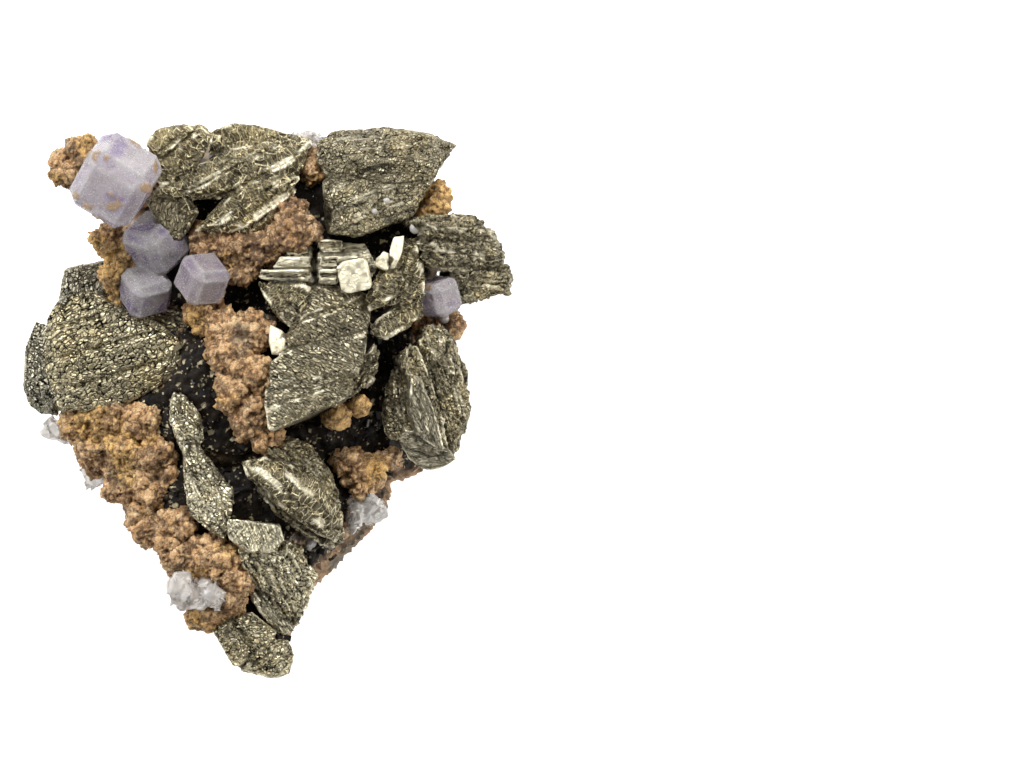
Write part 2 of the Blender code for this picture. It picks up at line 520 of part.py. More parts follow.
def keep_largest_body(target):
    """Drops the chips that a cut leaves."""
    bm = bmesh.new()
    bm.from_mesh(target.data)
    left, bodies = set(bm.verts), []
    for vert in bm.verts:
        if vert in left:
            bodies.append(body_of(vert, left))
    bodies.sort(key=lambda body: -len(body))
    chips = [vert for body in bodies[1:] for vert in body]
    bmesh.ops.delete(bm, geom=chips, context="VERTS")
    bmesh.ops.triangulate(bm, faces=bm.faces)
    bm.to_mesh(target.data)
    bm.free()


def merge_flat_faces(target, within):
    """Fewer, larger triangles and no slivers, wherever that leaves the solid closed."""
    for weld in (WELD_WITHIN, 0.0):
        bm = bmesh.new()
        bm.from_mesh(target.data)
        bmesh.ops.remove_doubles(bm, verts=bm.verts, dist=weld * METRES_PER_MM)
        bmesh.ops.dissolve_limit(bm, angle_limit=math.radians(within), verts=bm.verts,
                                 edges=bm.edges)
        bmesh.ops.triangulate(bm, faces=bm.faces)
        closed = all(len(edge.link_faces) == 2 for edge in bm.edges)
        if closed:
            bm.to_mesh(target.data)
        bm.free()
        if closed:
            return


def box_of(made):
    corners = [vert.co for vert in made.data.vertices]
    return ([min(corner[i] for corner in corners) for i in range(3)],
            [max(corner[i] for corner in corners) for i in range(3)])


def meeting(target, cutters):
    """The cutters whose boxes meet the target's."""
    low, high = box_of(target)
    found = []
    for cutter in cutters:
        other_low, other_high = box_of(cutter)
        if all(other_low[i] < high[i] and other_high[i] > low[i] for i in range(3)):
            found.append(cutter)
    return found


def remove_objects(objects):
    for made in objects:
        bpy.data.objects.remove(made)


def finish_of(kind):
    """The material of one mineral."""
    finish = FINISHES[kind]
    material = bpy.data.materials.new(kind)
    material.use_nodes = True
    shader = material.node_tree.nodes["Principled BSDF"]
    shader.inputs["Base Color"].default_value = (*finish["colour"], 1.0)
    shader.inputs["Roughness"].default_value = finish["roughness"]
    shader.inputs["Metallic"].default_value = finish["metallic"]
    return material


# The shapes of each piece, and its cutters

def arsenopyrite_shapes(name, crystals, collection):
    """All ledges of a crystal group, and one grown cutter for each crystal."""
    rng = random.Random(name)
    shapes, cutters = [], []
    for piece in crystals:
        ledges = [ledge_points(piece, number, rng) for number in range(piece["ledges"])]
        shapes += [hull_object(f"{name}_ledge", points, collection) for points in ledges]
        whole = hull_object(f"{name}_whole", sum(ledges, []), collection)
        cutters.append(grown_object(whole, collection))
        remove_objects([whole])
    return shapes, cutters


def hull_shapes(name, point_lists, collection):
    """One convex shape for each list of points, and their grown cutters."""
    shapes = [hull_object(f"{name}_part", points, collection) for points in point_lists]
    return shapes, [grown_object(shape, collection) for shape in shapes]


def siderite_shapes(name, lumps, collection):
    rng = random.Random(name)
    return [lump_object(f"{name}_lump", centre, radius, collection, rng)
            for centre, radius in lumps]


def matrix_shapes(collection):
    rng = random.Random("matrix")
    return hull_shapes("matrix", [block_points(block, rng) for block in MATRIX], collection)


# The specimen

def build():
    remove_objects(list(bpy.data.objects))
    specimen = new_collection("arsenopyrite_specimen")
    helpers = new_collection("helpers", hidden=True)
    finishes = {kind: finish_of(kind) for kind in FINISHES}
    cutters = []

    def place(kind, name, shapes, others):
        """Joins shapes into one piece and cuts it clear of the others."""
        piece = shapes[0]
        boolean_of(piece, shapes[1:], "UNION")
        remove_objects(shapes[1:])
        keep_largest_body(piece)
        boolean_of(piece, meeting(piece, others), "DIFFERENCE")
        keep_largest_body(piece)
        merge_flat_faces(piece, ROUGH_WITHIN if kind == "matrix" else FLAT_WITHIN)
        helpers.objects.unlink(piece)
        specimen.objects.link(piece)
        piece.name = name
        piece.data.materials.clear()
        piece.data.materials.append(finishes[kind])

    for name, crystals in ARSENOPYRITE.items():
        shapes, grown = arsenopyrite_shapes(name, crystals, helpers)
        place("arsenopyrite", name, shapes, cutters)
        cutters += grown
    for name, crystals in FLUORITE.items():
        shapes, grown = hull_shapes(name, [fluorite_points(c) for c in crystals], helpers)
        place("fluorite", name, shapes, cutters)
        cutters += grown
    for name, blocks in QUARTZ.items():
        rng = random.Random(name)
        shapes, grown = hull_shapes(name, [quartz_points(b, rng) for b in blocks], helpers)
        place("quartz", name, shapes, cutters)
        cutters += grown
    ground, grown_ground = matrix_shapes(helpers)
    for name, lumps in SIDERITE.items():
        place("siderite", name, siderite_shapes(name, lumps, helpers), cutters + grown_ground)
    place("matrix", "matrix", ground, cutters)
    remove_objects(list(helpers.objects))
    bpy.data.collections.remove(helpers)


build()
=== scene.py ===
import math
import random

import bmesh
import bpy
import numpy as np
from mathutils import Euler, Matrix, Vector
from mathutils.kdtree import KDTree


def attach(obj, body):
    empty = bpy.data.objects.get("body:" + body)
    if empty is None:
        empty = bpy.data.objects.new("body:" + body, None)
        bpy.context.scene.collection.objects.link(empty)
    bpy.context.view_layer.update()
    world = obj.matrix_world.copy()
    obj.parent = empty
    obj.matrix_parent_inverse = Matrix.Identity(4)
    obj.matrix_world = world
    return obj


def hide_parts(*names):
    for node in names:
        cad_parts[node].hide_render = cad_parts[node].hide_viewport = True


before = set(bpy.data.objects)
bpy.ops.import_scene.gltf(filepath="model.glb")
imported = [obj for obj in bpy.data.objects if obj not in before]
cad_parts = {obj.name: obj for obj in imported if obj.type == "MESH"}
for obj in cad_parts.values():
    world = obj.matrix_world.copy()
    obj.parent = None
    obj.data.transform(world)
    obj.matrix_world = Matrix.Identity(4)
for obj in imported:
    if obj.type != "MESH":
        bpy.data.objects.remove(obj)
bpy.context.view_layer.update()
print("frame loaded:", len(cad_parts), "pieces")

mm = 0.001
farAway = 9.0                        # mm, further than any border that is looked at
scene = bpy.context.scene


# Scattered numbers and cells, worked out for many points at once

def scattered(cells, seed):          # even numbers from 0 to 1 for whole-number cells
    mixed = cells[..., 0] * 73856093 ^ cells[..., 1] * 19349663 ^ cells[..., 2] * 83492791
    mixed = (mixed ^ seed * 2654435761) & 0xffffffff
    mixed = ((mixed ^ mixed >> 15) * 2246822519) & 0xffffffff
    mixed = ((mixed ^ mixed >> 13) * 3266489917) & 0xffffffff
    return (mixed ^ mixed >> 16) / 0xffffffff


def softNoise(points, seed):         # smooth noise from -1 to 1
    base = np.floor(points).astype(np.int64)
    part = points - base
    part = part * part * (3 - 2 * part)
    total = np.zeros(len(points))
    for corner in range(8):
        way = np.array([corner & 1, corner >> 1 & 1, corner >> 2 & 1])
        weight = np.where(way, part, 1 - part).prod(1)
        total += weight * scattered(base + way, seed)
    return total * 2 - 1


def layeredNoise(points, seed, layers=3):
    return sum(softNoise(points * 2 ** i, seed + i) / 2 ** i for i in range(layers))


class Cells:                         # the grain that each point is in, and how far its border is
    stray = 0.9                      # how much of its cell a grain's middle may lie in

    def __init__(self, points, seed):
        base = np.floor(points).astype(np.int64)
        nearest = np.full(len(points), 1e9)
        second = nearest.copy()
        self.cell = base.copy()
        self.offset = points * 0
        for i in range(27):
            cell = base + np.array([i % 3 - 1, i // 3 % 3 - 1, i // 9 - 1])
            middle = np.stack([scattered(cell, seed + k) for k in range(3)], 1)
            away = points - (cell + middle * self.stray)
            square = (away ** 2).sum(1)
            closer = square < nearest
            second = np.where(closer, nearest, np.minimum(second, square))
            nearest = np.where(closer, square, nearest)
            self.cell[closer] = cell[closer]
            self.offset[closer] = away[closer]
        self.reach = np.sqrt(nearest)
        self.border = np.sqrt(second) - self.reach
        self.seed = seed

    def own(self, number):           # a number of each grain's own, from 0 to 1
        return scattered(self.cell, self.seed + 10 + number)

    def tilt(self):                  # height of each grain's own slanting facet
        return sum(self.offset[:, k] * (self.own(k) * 2 - 1) for k in range(3))


def ramp(value, low, high):
    share = np.clip((value - low) / (high - low), 0, 1)
    return share * share * (3 - 2 * share)


# Fine meshes made from the solids

def fineMesh(name, voxel, lumps=(), blocks=(), soften=0):   # an even mesh of a solid and its lumps
    piece = bpy.data.objects.new("fine_" + name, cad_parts[name].data.copy())
    scene.collection.objects.link(piece)
    bm = bmesh.new()
    bm.from_mesh(piece.data)
    for place, radius in lumps:
        bmesh.ops.create_icosphere(bm, subdivisions=2, radius=radius * mm,
                                   matrix=Matrix.Translation(Vector(place) * mm))
    for place, size, turn in blocks:
        way = Euler([math.radians(angle) for angle in turn]).to_matrix().to_4x4()
        shape = Matrix.Translation(Vector(place) * mm) @ way @ Matrix.Diagonal((*size, 1))
        bmesh.ops.create_cube(bm, size=mm, matrix=shape)
    bm.to_mesh(piece.data)
    bm.free()
    remesh = piece.modifiers.new("remesh", "REMESH")
    remesh.mode = "VOXEL"
    remesh.voxel_size = voxel * mm
    if soften:
        softer = piece.modifiers.new("softer", "SMOOTH")
        softer.factor, softer.iterations = 0.5, soften
    bpy.context.view_layer.update()
    evaluated = piece.evaluated_get(bpy.context.evaluated_depsgraph_get())
    mesh = bpy.data.meshes.new_from_object(evaluated)
    piece.modifiers.clear()
    piece.data = mesh
    return piece


def pointsOf(piece):
    flat = np.zeros(len(piece.data.vertices) * 3)
    piece.data.vertices.foreach_get("co", flat)
    return flat.reshape(-1, 3) / mm


def normalsOf(piece):
    flat = np.zeros(len(piece.data.vertices) * 3)
    piece.data.vertices.foreach_get("normal", flat)
    return flat.reshape(-1, 3)


edgeLines = {
    "merge": 0.002,                  # mm, corners closer than this are one
    "spacing": 0.12,                 # mm between the points along an edge
    "lowest": 0.25,                  # edges that only lower faces than this meet at are left out
}


def sharpLines(node, sharpest, deepest):     # points along a solid's sharp edges, and its creases
    bm = bmesh.new()
    bm.from_mesh(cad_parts[node].data)
    bmesh.ops.remove_doubles(bm, verts=bm.verts, dist=edgeLines["merge"] * mm)
    bm.normal_update()
    lines = ([], [])
    for edge in bm.edges:
        bend = edge.calc_face_angle_signed(0.0)
        least = math.radians(sharpest if bend > 0 else deepest)
        highest = max(face.normal.z for face in edge.link_faces)
        if abs(bend) < least or highest < edgeLines["lowest"]:
            continue
        one, other = (corner.co / mm for corner in edge.verts)
        count = int((other - one).length / edgeLines["spacing"]) + 2
        lines[bend < 0].extend(one.lerp(other, i / (count - 1)) for i in range(count))
    bm.free()
    return lines


def awayFrom(points, spots):         # distance from each point to the nearest spot
    if not spots:
        return np.full(len(points), farAway)
    tree = KDTree(len(spots))
    for i, spot in enumerate(spots):
        tree.insert(spot, i)
    tree.balance()
    return np.array([tree.find(point)[2] for point in points.tolist()])


def reshape(piece, points):
    piece.data.vertices.foreach_set("co", (points * mm).ravel())
    piece.data.update()


def note(piece, name, values):       # keeps a number at each point for the material
    kept = piece.data.attributes.new(name, "FLOAT", "POINT")
    kept.data.foreach_set("value", np.clip(values, 0, 1).astype(np.float32))


def noteWay(piece, name, ways):      # the same for a direction or place
    kept = piece.data.attributes.new(name, "FLOAT_VECTOR", "POINT")
    kept.data.foreach_set("vector", ways.astype(np.float32).ravel())


def finishPiece(piece, node, material, smooth=True):
    piece.data.materials.clear()
    piece.data.materials.append(material)
    piece.data.polygons.foreach_set("use_smooth", [smooth] * len(piece.data.polygons))
    piece.data.update()
    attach(piece, "root")
    if node:
        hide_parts(node)


# Shader maths

class Value:
    def __init__(self, shader, socket):
        self.shader, self.socket = shader, socket

    def maths(self, operation, one, other, clamp=False):
        return self.shader.node("ShaderNodeMath", {"operation": operation, "use_clamp": clamp},
                                one, other).value()

    def __add__(self, other):
        return self.maths("ADD", self, other)

    def __sub__(self, other):
        return self.maths("SUBTRACT", self, other)

    def __mul__(self, other):
        return self.maths("MULTIPLY", self, other)

    def __rsub__(self, other):
        return self.maths("SUBTRACT", other, self)

    def clamped(self):
        return self.maths("ADD", self, 0.0, clamp=True)

    __radd__ = __add__
    __rmul__ = __mul__


class Node:
    def __init__(self, shader, made):
        self.shader, self.made = shader, made

    def value(self, name=0):
        return Value(self.shader, self.made.outputs[name])


class Shader:
    def __init__(self, name):
        self.material = bpy.data.materials.new(name)
        self.material.use_nodes = True
        self.tree = self.material.node_tree
        self.surface = self.tree.nodes["Principled BSDF"]
        self.place = self.node("ShaderNodeTexCoord", {}).value("Object")

    def plug(self, socket, value):
        if isinstance(value, Value):
            self.tree.links.new(value.socket, socket)
        elif socket.type == "RGBA" and isinstance(value, tuple):
            socket.default_value = (*value, 1.0)
        else:
            socket.default_value = value

    def node(self, kind, settings, *values, **named):
        made = self.tree.nodes.new(kind)
        for name, setting in settings.items():
            if name == "stops":
                while len(made.color_ramp.elements) < len(setting):
                    made.color_ramp.elements.new(0.5)
                for element, (place, colour) in zip(made.color_ramp.elements, setting):
                    element.position = place
                    element.color = (*colour, 1.0)
            else:
                setattr(made, name, setting)
        for socket, value in zip(made.inputs, values):
            self.plug(socket, value)
        for name, value in named.items():
            self.plug(made.inputs[name], value)
        return Node(self, made)

    def kept(self, name, kind="Fac"):     # a number kept at the mesh's points
        return self.node("ShaderNodeAttribute", {"attribute_name": name}).value(kind)

    def vectors(self, operation, one, other, kind="Vector"):
        return self.node("ShaderNodeVectorMath", {"operation": operation}, one, other).value(kind)

    def facets(self, place, scale=1.0):   # border distance, own number and slant of small facets
        near = self.node("ShaderNodeTexVoronoi", {}, Vector=place, Scale=scale)
        edge = self.node("ShaderNodeTexVoronoi", {"feature": "DISTANCE_TO_EDGE"}, Vector=place,
                         Scale=scale).value("Distance")
        own = near.value("Color")
        away = self.vectors("SUBTRACT", place, near.value("Position"))
        slant = self.vectors("DOT_PRODUCT", away, self.vectors("SUBTRACT", own, (0.5, 0.5, 0.5)),
                             "Value")
        number = self.vectors("DOT_PRODUCT", own, (0.5, 0.3, 0.2), "Value")
        return edge, number, slant

    def noise(self, size, detail=3.0, roughness=0.55):
        return self.node("ShaderNodeTexNoise", {}, Vector=self.place, Scale=1 / (size * mm),
                         Detail=detail, Roughness=roughness).value("Fac")

    def stops(self, value, *stops):
        return self.node("ShaderNodeValToRGB", {"stops": stops}, value).value("Color")

    def mixed(self, share, one, other, blend="MIX"):
        mix = self.tree.nodes.new("ShaderNodeMix")
        mix.data_type, mix.blend_type = "RGBA", blend
        self.plug(mix.inputs["Factor"], share)
        self.plug(mix.inputs[6], one)
        self.plug(mix.inputs[7], other)
        return Value(self, mix.outputs[2])

    def bump(self, height, distance, strength=1.0):      # the distance is in mm
        return self.node("ShaderNodeBump", {}, Height=height, Distance=distance * mm,
                         Strength=strength).value("Normal")

    def set(self, **inputs):
        for name, value in inputs.items():
            self.plug(self.surface.inputs[name.replace("_", " ")], value)


# Arsenopyrite skins, in mm. Ledges are as wide as ridge, as high as ridgeRise and as wavy as bend.
# Cells lie on them, long by wide, turned by some degrees, tilted by cellRise and cracked, among
# bigger blocks and a fine weave. The rest are shares: how plain and how grey a skin is, how much
# painted cream reflection and painted highlight lace it has, how dark the painted shade in its
# cracks is and how bright its painted highlight rims are.

skins = {
    "leaf": {"ridge": 2.3, "ridgeRise": 0.30, "long": 0.8, "wide": 1.5, "turn": 10,
             "cellRise": 0.14, "crack": 0.04, "block": 0.12, "fine": (0.42, 0.95),
             "plain": 0.1, "grey": 0.1, "cream": 0.0, "lace": 0.75,
             "dark": 0.25, "bend": 1.3, "rim": 1.0},
    "scale": {"ridge": 4.2, "ridgeRise": 0.16, "long": 1.1, "wide": 0.9, "turn": 20,
              "cellRise": 0.22, "crack": 0.05, "block": 0.16, "fine": (0.72, 0.56),
              "plain": 0.35, "grey": 0.1, "cream": 0.0, "lace": 0.1,
              "dark": 0.4, "bend": 1.2, "rim": 0.35},
    "mosaic": {"ridge": 4.4, "ridgeRise": 0.08, "long": 1.1, "wide": 0.9, "turn": 20,
               "cellRise": 0.08, "crack": 0.05, "block": 0.14, "fine": (0.95, 0.74),
               "plain": 0.55, "grey": 0.1, "cream": 0.0, "lace": 0.0,
               "dark": 0.35, "bend": 1.6, "rim": 0.3},
    "steel": {"ridge": 3.2, "ridgeRise": 0.08, "long": 1.3, "wide": 1.1, "turn": 50,
              "cellRise": 0.06, "crack": 0.03, "block": 0.12, "fine": (0.70, 0.60),
              "plain": 0.60, "grey": 0.95, "cream": 0.0, "lace": 0.0,
              "dark": 0.2, "bend": 1.2, "rim": 0.5},
    "skin": {"ridge": 9.0, "ridgeRise": 0.03, "long": 0.9, "wide": 1.5, "turn": -52,
             "cellRise": 0.05, "crack": 0.01, "block": 0.02, "fine": (1.3, 0.50),
             "plain": 0.4, "grey": 0.35, "cream": 0.0, "lace": 0.25,
             "dark": 0.25, "bend": 0.45, "rim": 0.7},
    "blocky": {"ridge": 1.5, "ridgeRise": 0.36, "long": 1.2, "wide": 0.7, "turn": 8,
               "cellRise": 0.34, "crack": 0.10, "block": 0.48, "fine": (0.85, 0.60),
               "plain": 0.35, "grey": 0.0, "cream": 0.03, "lace": 0.2,
               "dark": 0.95, "bend": 1.6, "rim": 0.5},
    "plate": {"ridge": 2.6, "ridgeRise": 0.12, "long": 1.6, "wide": 1.2, "turn": 0,
              "cellRise": 0.10, "crack": 0.05, "block": 0.14, "fine": (1.8, 0.36),
              "plain": 0.45, "grey": 0.6, "cream": 0.06, "lace": 0.1,
              "dark": 0.3, "bend": 0.6, "rim": 0.9},
    "step": {"ridge": 0.62, "ridgeRise": 0.12, "long": 3.2, "wide": 1.0, "turn": 0,
             "cellRise": 0.03, "crack": 0.04, "block": 0.03, "fine": (2.6, 0.26),
             "plain": 1.0, "grey": 0.2, "cream": 0.60, "lace": 0.0,
             "dark": 0.25, "bend": 0.1, "rim": 0.8},
    "mirror": {"ridge": 2.3, "ridgeRise": 0.04, "long": 1.6, "wide": 1.4, "turn": 0,
               "cellRise": 0.06, "crack": 0.0, "block": 0.03, "fine": (1.1, 0.9),
               "plain": 1.0, "grey": 0.2, "cream": 0.95, "lace": 0.0,
               "dark": 0.0, "bend": 0.25, "rim": 0.8},
}

# Each crystal: middle x, y, z, its rise with x and y, the way its ledges run, half its length
# and half its width, and its skin.

crystals = {
    "arsenopyrite_centre": [
        (9.1, 14.3, 32.6, -0.12, -0.36, 0.96, 0.28, 8.6, 5.0, "skin"),
        (8.9, 6.3, 35.2, -0.12, -0.32, 0.94, 0.34, 9.0, 4.3, "skin"),
        (7.1, 1.0, 36.6, -0.14, -0.36, 0.94, 0.34, 8.3, 3.6, "skin"),
        (3.3, 17.7, 31.8, 0.1, -0.3, 0.60, -0.80, 4.9, 3.9, "leaf"),
        (1.7, 10.1, 33.4, 0.2, 0.0, 0.30, -0.95, 2.8, 1.8, "mirror"),
        (22.7, 20.0, 30.9, -0.35, -0.1, 0.45, 0.89, 7.4, 4.3, "leaf"),
        (21.8, 13.7, 30.4, -0.3, -0.1, 0.85, 0.53, 5.4, 2.2, "leaf"),
        (15.9, 3.8, 32.7, -0.3, 0.0, 0.60, 0.80, 5.9, 1.9, "blocky"),
        (9.3, 22.2, 29.6, 0.02, 0.0, 1.00, 0.02, 9.3, 4.2, "step"),
        (3.0, 20.5, 31.6, 0.02, 0.0, 1.00, 0.02, 4.6, 1.4, "step"),
        (4.3, 23.0, 31.9, 0.02, 0.0, 1.00, 0.02, 3.5, 1.1, "step"),
        (4.9, 24.9, 31.0, 0.02, 0.0, 1.00, 0.04, 2.3, 0.8, "step"),
        (10.2, 20.6, 32.0, 0.02, 0.0, 1.00, 0.02, 1.8, 1.4, "step"),
        (13.0, 23.1, 32.3, 0.02, 0.0, 1.00, 0.02, 4.4, 1.0, "step"),
        (10.6, 25.6, 31.2, 0.02, 0.0, 1.00, 0.04, 2.3, 1.3, "step"),
        (14.5, 20.8, 33.8, 0.1, 0.1, 1.00, 0.10, 2.7, 2.9, "mirror"),
        (19.5, 23.1, 32.9, 0.1, -0.1, 0.87, -0.50, 1.6, 1.6, "mirror"),
        (21.3, 24.5, 32.8, 0.1, -0.1, 0.29, 0.96, 3.2, 1.1, "mirror"),
    ],
    "arsenopyrite_upper_left": [
        (-15.0, 42.0, 31.2, -0.1, -0.1, 0.75, 0.66, 6.4, 4.5, "leaf"),
        (-1.4, 44.0, 26.5, -0.1, -0.25, 1.00, 0.10, 9.1, 2.9, "leaf"),
        (-5.1, 37.1, 29.6, -0.16, -0.05, 0.88, 0.47, 14.2, 5.0, "leaf"),
        (-2.8, 31.7, 30.4, -0.12, 0.12, 0.82, 0.57, 9.9, 4.0, "leaf"),
        (-15.3, 31.5, 30.0, 0.0, 0.0, 0.60, -0.80, 4.4, 3.6, "skin"),
    ],
    "arsenopyrite_upper_right": [
        (20.0, 41.1, 22.7, -0.32, -0.85, 1.00, 0.08, 11.8, 5.3, "scale"),
        (18.5, 34.6, 27.4, -0.42, -0.55, 0.93, 0.36, 9.8, 5.8, "scale"),
    ],
    "arsenopyrite_right": [
        (31.8, 28.5, 24.5, -1.2, 0.2, 1.00, -0.06, 6.9, 2.5, "blocky"),
        (32.6, 24.3, 22.9, -1.15, 0.1, 1.00, -0.08, 7.5, 3.2, "blocky"),
        (36.0, 19.5, 18.4, -1.1, 0.0, 1.00, -0.05, 5.7, 3.5, "blocky"),
    ],
    "arsenopyrite_left": [
        (-26.1, 9.3, 25.4, 0.17, -0.03, 0.96, 0.27, 12.4, 10.3, "mosaic"),
        (-38.2, 5.3, 20.1, 0.3, 0.0, 0.05, 1.00, 8.0, 3.3, "steel"),
        (-30.6, 18.0, 22.4, 0.0, -0.2, 0.98, 0.20, 5.5, 5.0, "steel"),
        (-27.9, -0.2, 22.3, 0.1, 0.2, 0.99, 0.12, 7.2, 1.8, "leaf"),
        (-18.4, 13.1, 23.4, 0.05, -0.2, 0.92, -0.38, 7.6, 3.2, "blocky"),
    ],
    "arsenopyrite_right_lower": [
        (30.6, 1.7, 23.9, -0.95, 0.0, 0.26, -0.97, 11.5, 3.5, "blocky"),
        (26.8, 0.2, 29.9, -0.6, 0.1, 0.36, -0.93, 9.5, 1.7, "blocky"),
        (26.0, -2.8, 33.1, -0.4, 0.1, 0.36, -0.93, 6.8, 2.2, "plate"),
        (21.9, 0.8, 26.6, 0.3, 0.0, 0.15, -0.99, 7.5, 3.8, "scale"),
        (26.4, -8.6, 27.9, 0.0, 0.55, 0.98, -0.20, 5.1, 3.2, "plate"),
    ],
    "arsenopyrite_blade": [
        (-13.5, -3.8, 30.0, 0.0, 0.05, 0.36, -0.93, 5.7, 2.7, "scale"),
        (-10.6, -14.3, 30.3, 0.08, 0.0, 0.38, -0.92, 9.4, 4.3, "scale"),
    ],
    "arsenopyrite_lower_middle": [
        (5.3, -15.7, 31.7, -0.42, 0.3, 0.74, -0.67, 10.4, 3.7, "leaf"),
        (5.3, -19.3, 29.1, -0.45, 0.5, 0.80, -0.60, 8.9, 2.3, "blocky"),
        (6.9, -11.2, 29.8, -0.38, -0.2, 0.74, -0.67, 7.4, 3.2, "blocky"),
    ],
    "arsenopyrite_bottom": [
        (-2.3, -22.3, 30.0, -0.4, 0.1, 0.91, -0.41, 5.3, 3.4, "skin"),
        (2.9, -30.0, 24.2, -0.7, 0.1, 0.45, -0.89, 8.0, 5.0, "blocky"),
        (0.1, -34.6, 24.0, -0.2, 0.2, 0.60, -0.80, 6.1, 2.0, "plate"),
    ],
    "arsenopyrite_tip": [
        (-3.5, -39.9, 25.4, 0.0, 0.0, 0.60, -0.80, 5.1, 4.7, "scale"),
        (-0.3, -43.4, 25.0, -0.1, 0.1, 0.95, 0.32, 4.7, 3.6, "scale"),
    ],
}
sulphide = {
    "voxel": 0.265,
    # The near-black colour is painted shade in cracks, grooves, creases and joins; lace and cream
    # are painted highlights.
    "paintedShade": (0.008, 0.007, 0.005),
    "dull": (0.27, 0.23, 0.14),
    "body": (0.52, 0.455, 0.285),
    "bright": (0.95, 0.87, 0.62),
    "gold": (0.60, 0.48, 0.23),
    "lace": (1.0, 0.88, 0.56),
    "roughness": (0.36, 0.20),
    "grey": (0.27, 0.265, 0.225),
    "cream": (0.95, 0.88, 0.66),
    "sharp": 42,                     # degrees, edges sharper than this get a painted highlight rim
    "creased": 26,                   # degrees, edges bent in more than this get painted shade
    "boxy": 0.9,                     # skins plainer than this are on square steps and blocks
    "rimWide": (0.08, 0.36),
    "creaseWide": (0.05, 0.34),
    "creaseDeep": 0.12,
    "joinWide": (0.10, 0.6),         # painted shade between leaves, and between steps
    "joinDeep": 0.4,
    "gapAt": (7.85, 23.2),           # the gap between the steps, painted dark as shade
    "gapSize": (0.40, 4.2),
    "gapDeep": 0.5,
    "blockSize": (2.6, 1.5, 1.8),
    # Painted light: each crystal group's colour is shifted lighter or darker to stand in for how
    # it is lit
    "light": {"arsenopyrite_left": 0.46, "arsenopyrite_centre": 0.21, "arsenopyrite_blade": 0.68,
              "arsenopyrite_upper_left": 0.26, "arsenopyrite_upper_right": 0.24,
              "arsenopyrite_right": 0.22, "arsenopyrite_right_lower": 0.31,
              "arsenopyrite_lower_middle": 0.03, "arsenopyrite_bottom": 0.83,
              "arsenopyrite_tip": 0.54},
    "blocks": {"arsenopyrite_centre": [((14.5, 20.9, 34.0), (5.0, 5.6, 2.8), (10, -8, 12)),
                                       ((19.7, 23.0, 32.2), (2.5, 2.7, 1.8), (10, 0, -30))]},
    "soften": {"arsenopyrite_left": 8},
}


def sulphideMaterial():
    s = Shader("arsenopyriteMetal")
    crack, tone, plain, rim = s.kept("crack"), s.kept("tone"), s.kept("plain"), s.kept("rim")
    grey, lace, weave = s.kept("grey"), s.kept("lace"), s.kept("weave", "Vector")
    patch, fine = s.noise(7.0), s.noise(0.35, 3.0, 0.6)
    edge, own, slant = s.facets(weave)
    tileEdge, tileOwn, tileSlant = s.facets(s.vectors("ADD", weave, (7.7, 3.1, 5.2)), 0.40)
    broken = ((s.noise(1.2, 3.0) - 0.47) * 10.0).clamped()
    # groove and split trace the fine grooves and tile seams, which get painted shade below
    groove = (1 - edge * (8.0 - lace * 3.5 - plain * 3.0)).clamped() * (1 - plain * (1 - broken))
    lip = (1 - (edge - 0.18) * (edge - 0.18) * 200.0).clamped()
    split = (1 - tileEdge * (11.0 + lace * 9.0)).clamped() * (1 - plain)
    # The group's painted light shift, a little darker under the lace
    shift = (s.kept("light") - 0.5) * 0.9 - lace * 0.08
    varied = (own * 0.35 + fine * 0.35) * (1 - plain * 0.65) + plain * 0.2275
    colour = s.stops(tone * 0.15 + tileOwn * 0.15 + varied + shift, (0.30, sulphide["dull"]),
                     (0.50, sulphide["body"]), (0.70, sulphide["bright"]))
    colour = s.mixed(((patch - 0.47) * 3.0).clamped() * (1 - grey), colour, sulphide["gold"])
    colour = s.mixed(grey * 0.7, colour, sulphide["grey"])
    # Painted highlight on groove lips, and painted shade on the lips under the lace
    colour = s.mixed(lip * own * (1 - lace) * (1 - plain * 0.7), colour, sulphide["bright"])
    colour = s.mixed(lip * lace * 0.75, colour, sulphide["paintedShade"])
    # Painted shade in cracks, creases, joins, grooves and tile seams
    colour = s.mixed((crack * 0.8 + (groove * 0.75 + split * 0.8) * (1 - lace)).clamped(), colour,
                     sulphide["paintedShade"])
    colour = s.mixed(groove * lace * 0.6, colour, sulphide["paintedShade"])
    # Painted highlight: pale lace lines, cream rims on sharp edges and painted cream reflection on
    # faces
    colour = s.mixed((split * lace * 1.8).clamped(), colour, sulphide["lace"])
    colour = s.mixed(rim, colour, sulphide["cream"])
    rough, smooth = sulphide["roughness"]
    s.set(Base_Color=colour, Metallic=0.95 - rim * 0.75 - split * lace * 0.4,
          Roughness=(rough - own * (rough - smooth) + crack * 0.3 + plain * 0.10).clamped(),
          Normal=s.bump(slant * 1.2 * (1 - plain * 0.7) + tileSlant * 1.3 * (1 - plain)
                        + groove * (rim - 0.7) * (1 - lace) + split * (lace * 1.6 - 0.7)
                        + fine * (0.45 - plain * 0.3), 0.38, 1.0))
    return s.material


def crystalOf(points, group):        # which crystal of a group each point is on
    scores = []
    for x, y, z, riseX, riseY, grainX, grainY, half, wide, skin in group:
        along = (points[:, 0] - x) * grainX + (points[:, 1] - y) * grainY
        across = (points[:, 1] - y) * grainX - (points[:, 0] - x) * grainY
        face = z + riseX * (points[:, 0] - x) + riseY * (points[:, 1] - y)
        power = 4 if skins[skin]["plain"] > sulphide["boxy"] else 2
        flat = (np.abs(along / half) ** power + np.abs(across / wide) ** power) ** (1 / power)
        scores.append(np.maximum(flat - 0.75, 0) * 2.5 + np.abs(points[:, 2] - face + 0.5) * 0.45)
    scores = np.array(scores)
    order = np.sort(scores, 0)
    gap = order[1] - order[0] if len(group) > 1 else np.full(len(points), farAway)
    return scores.argmin(0), gap


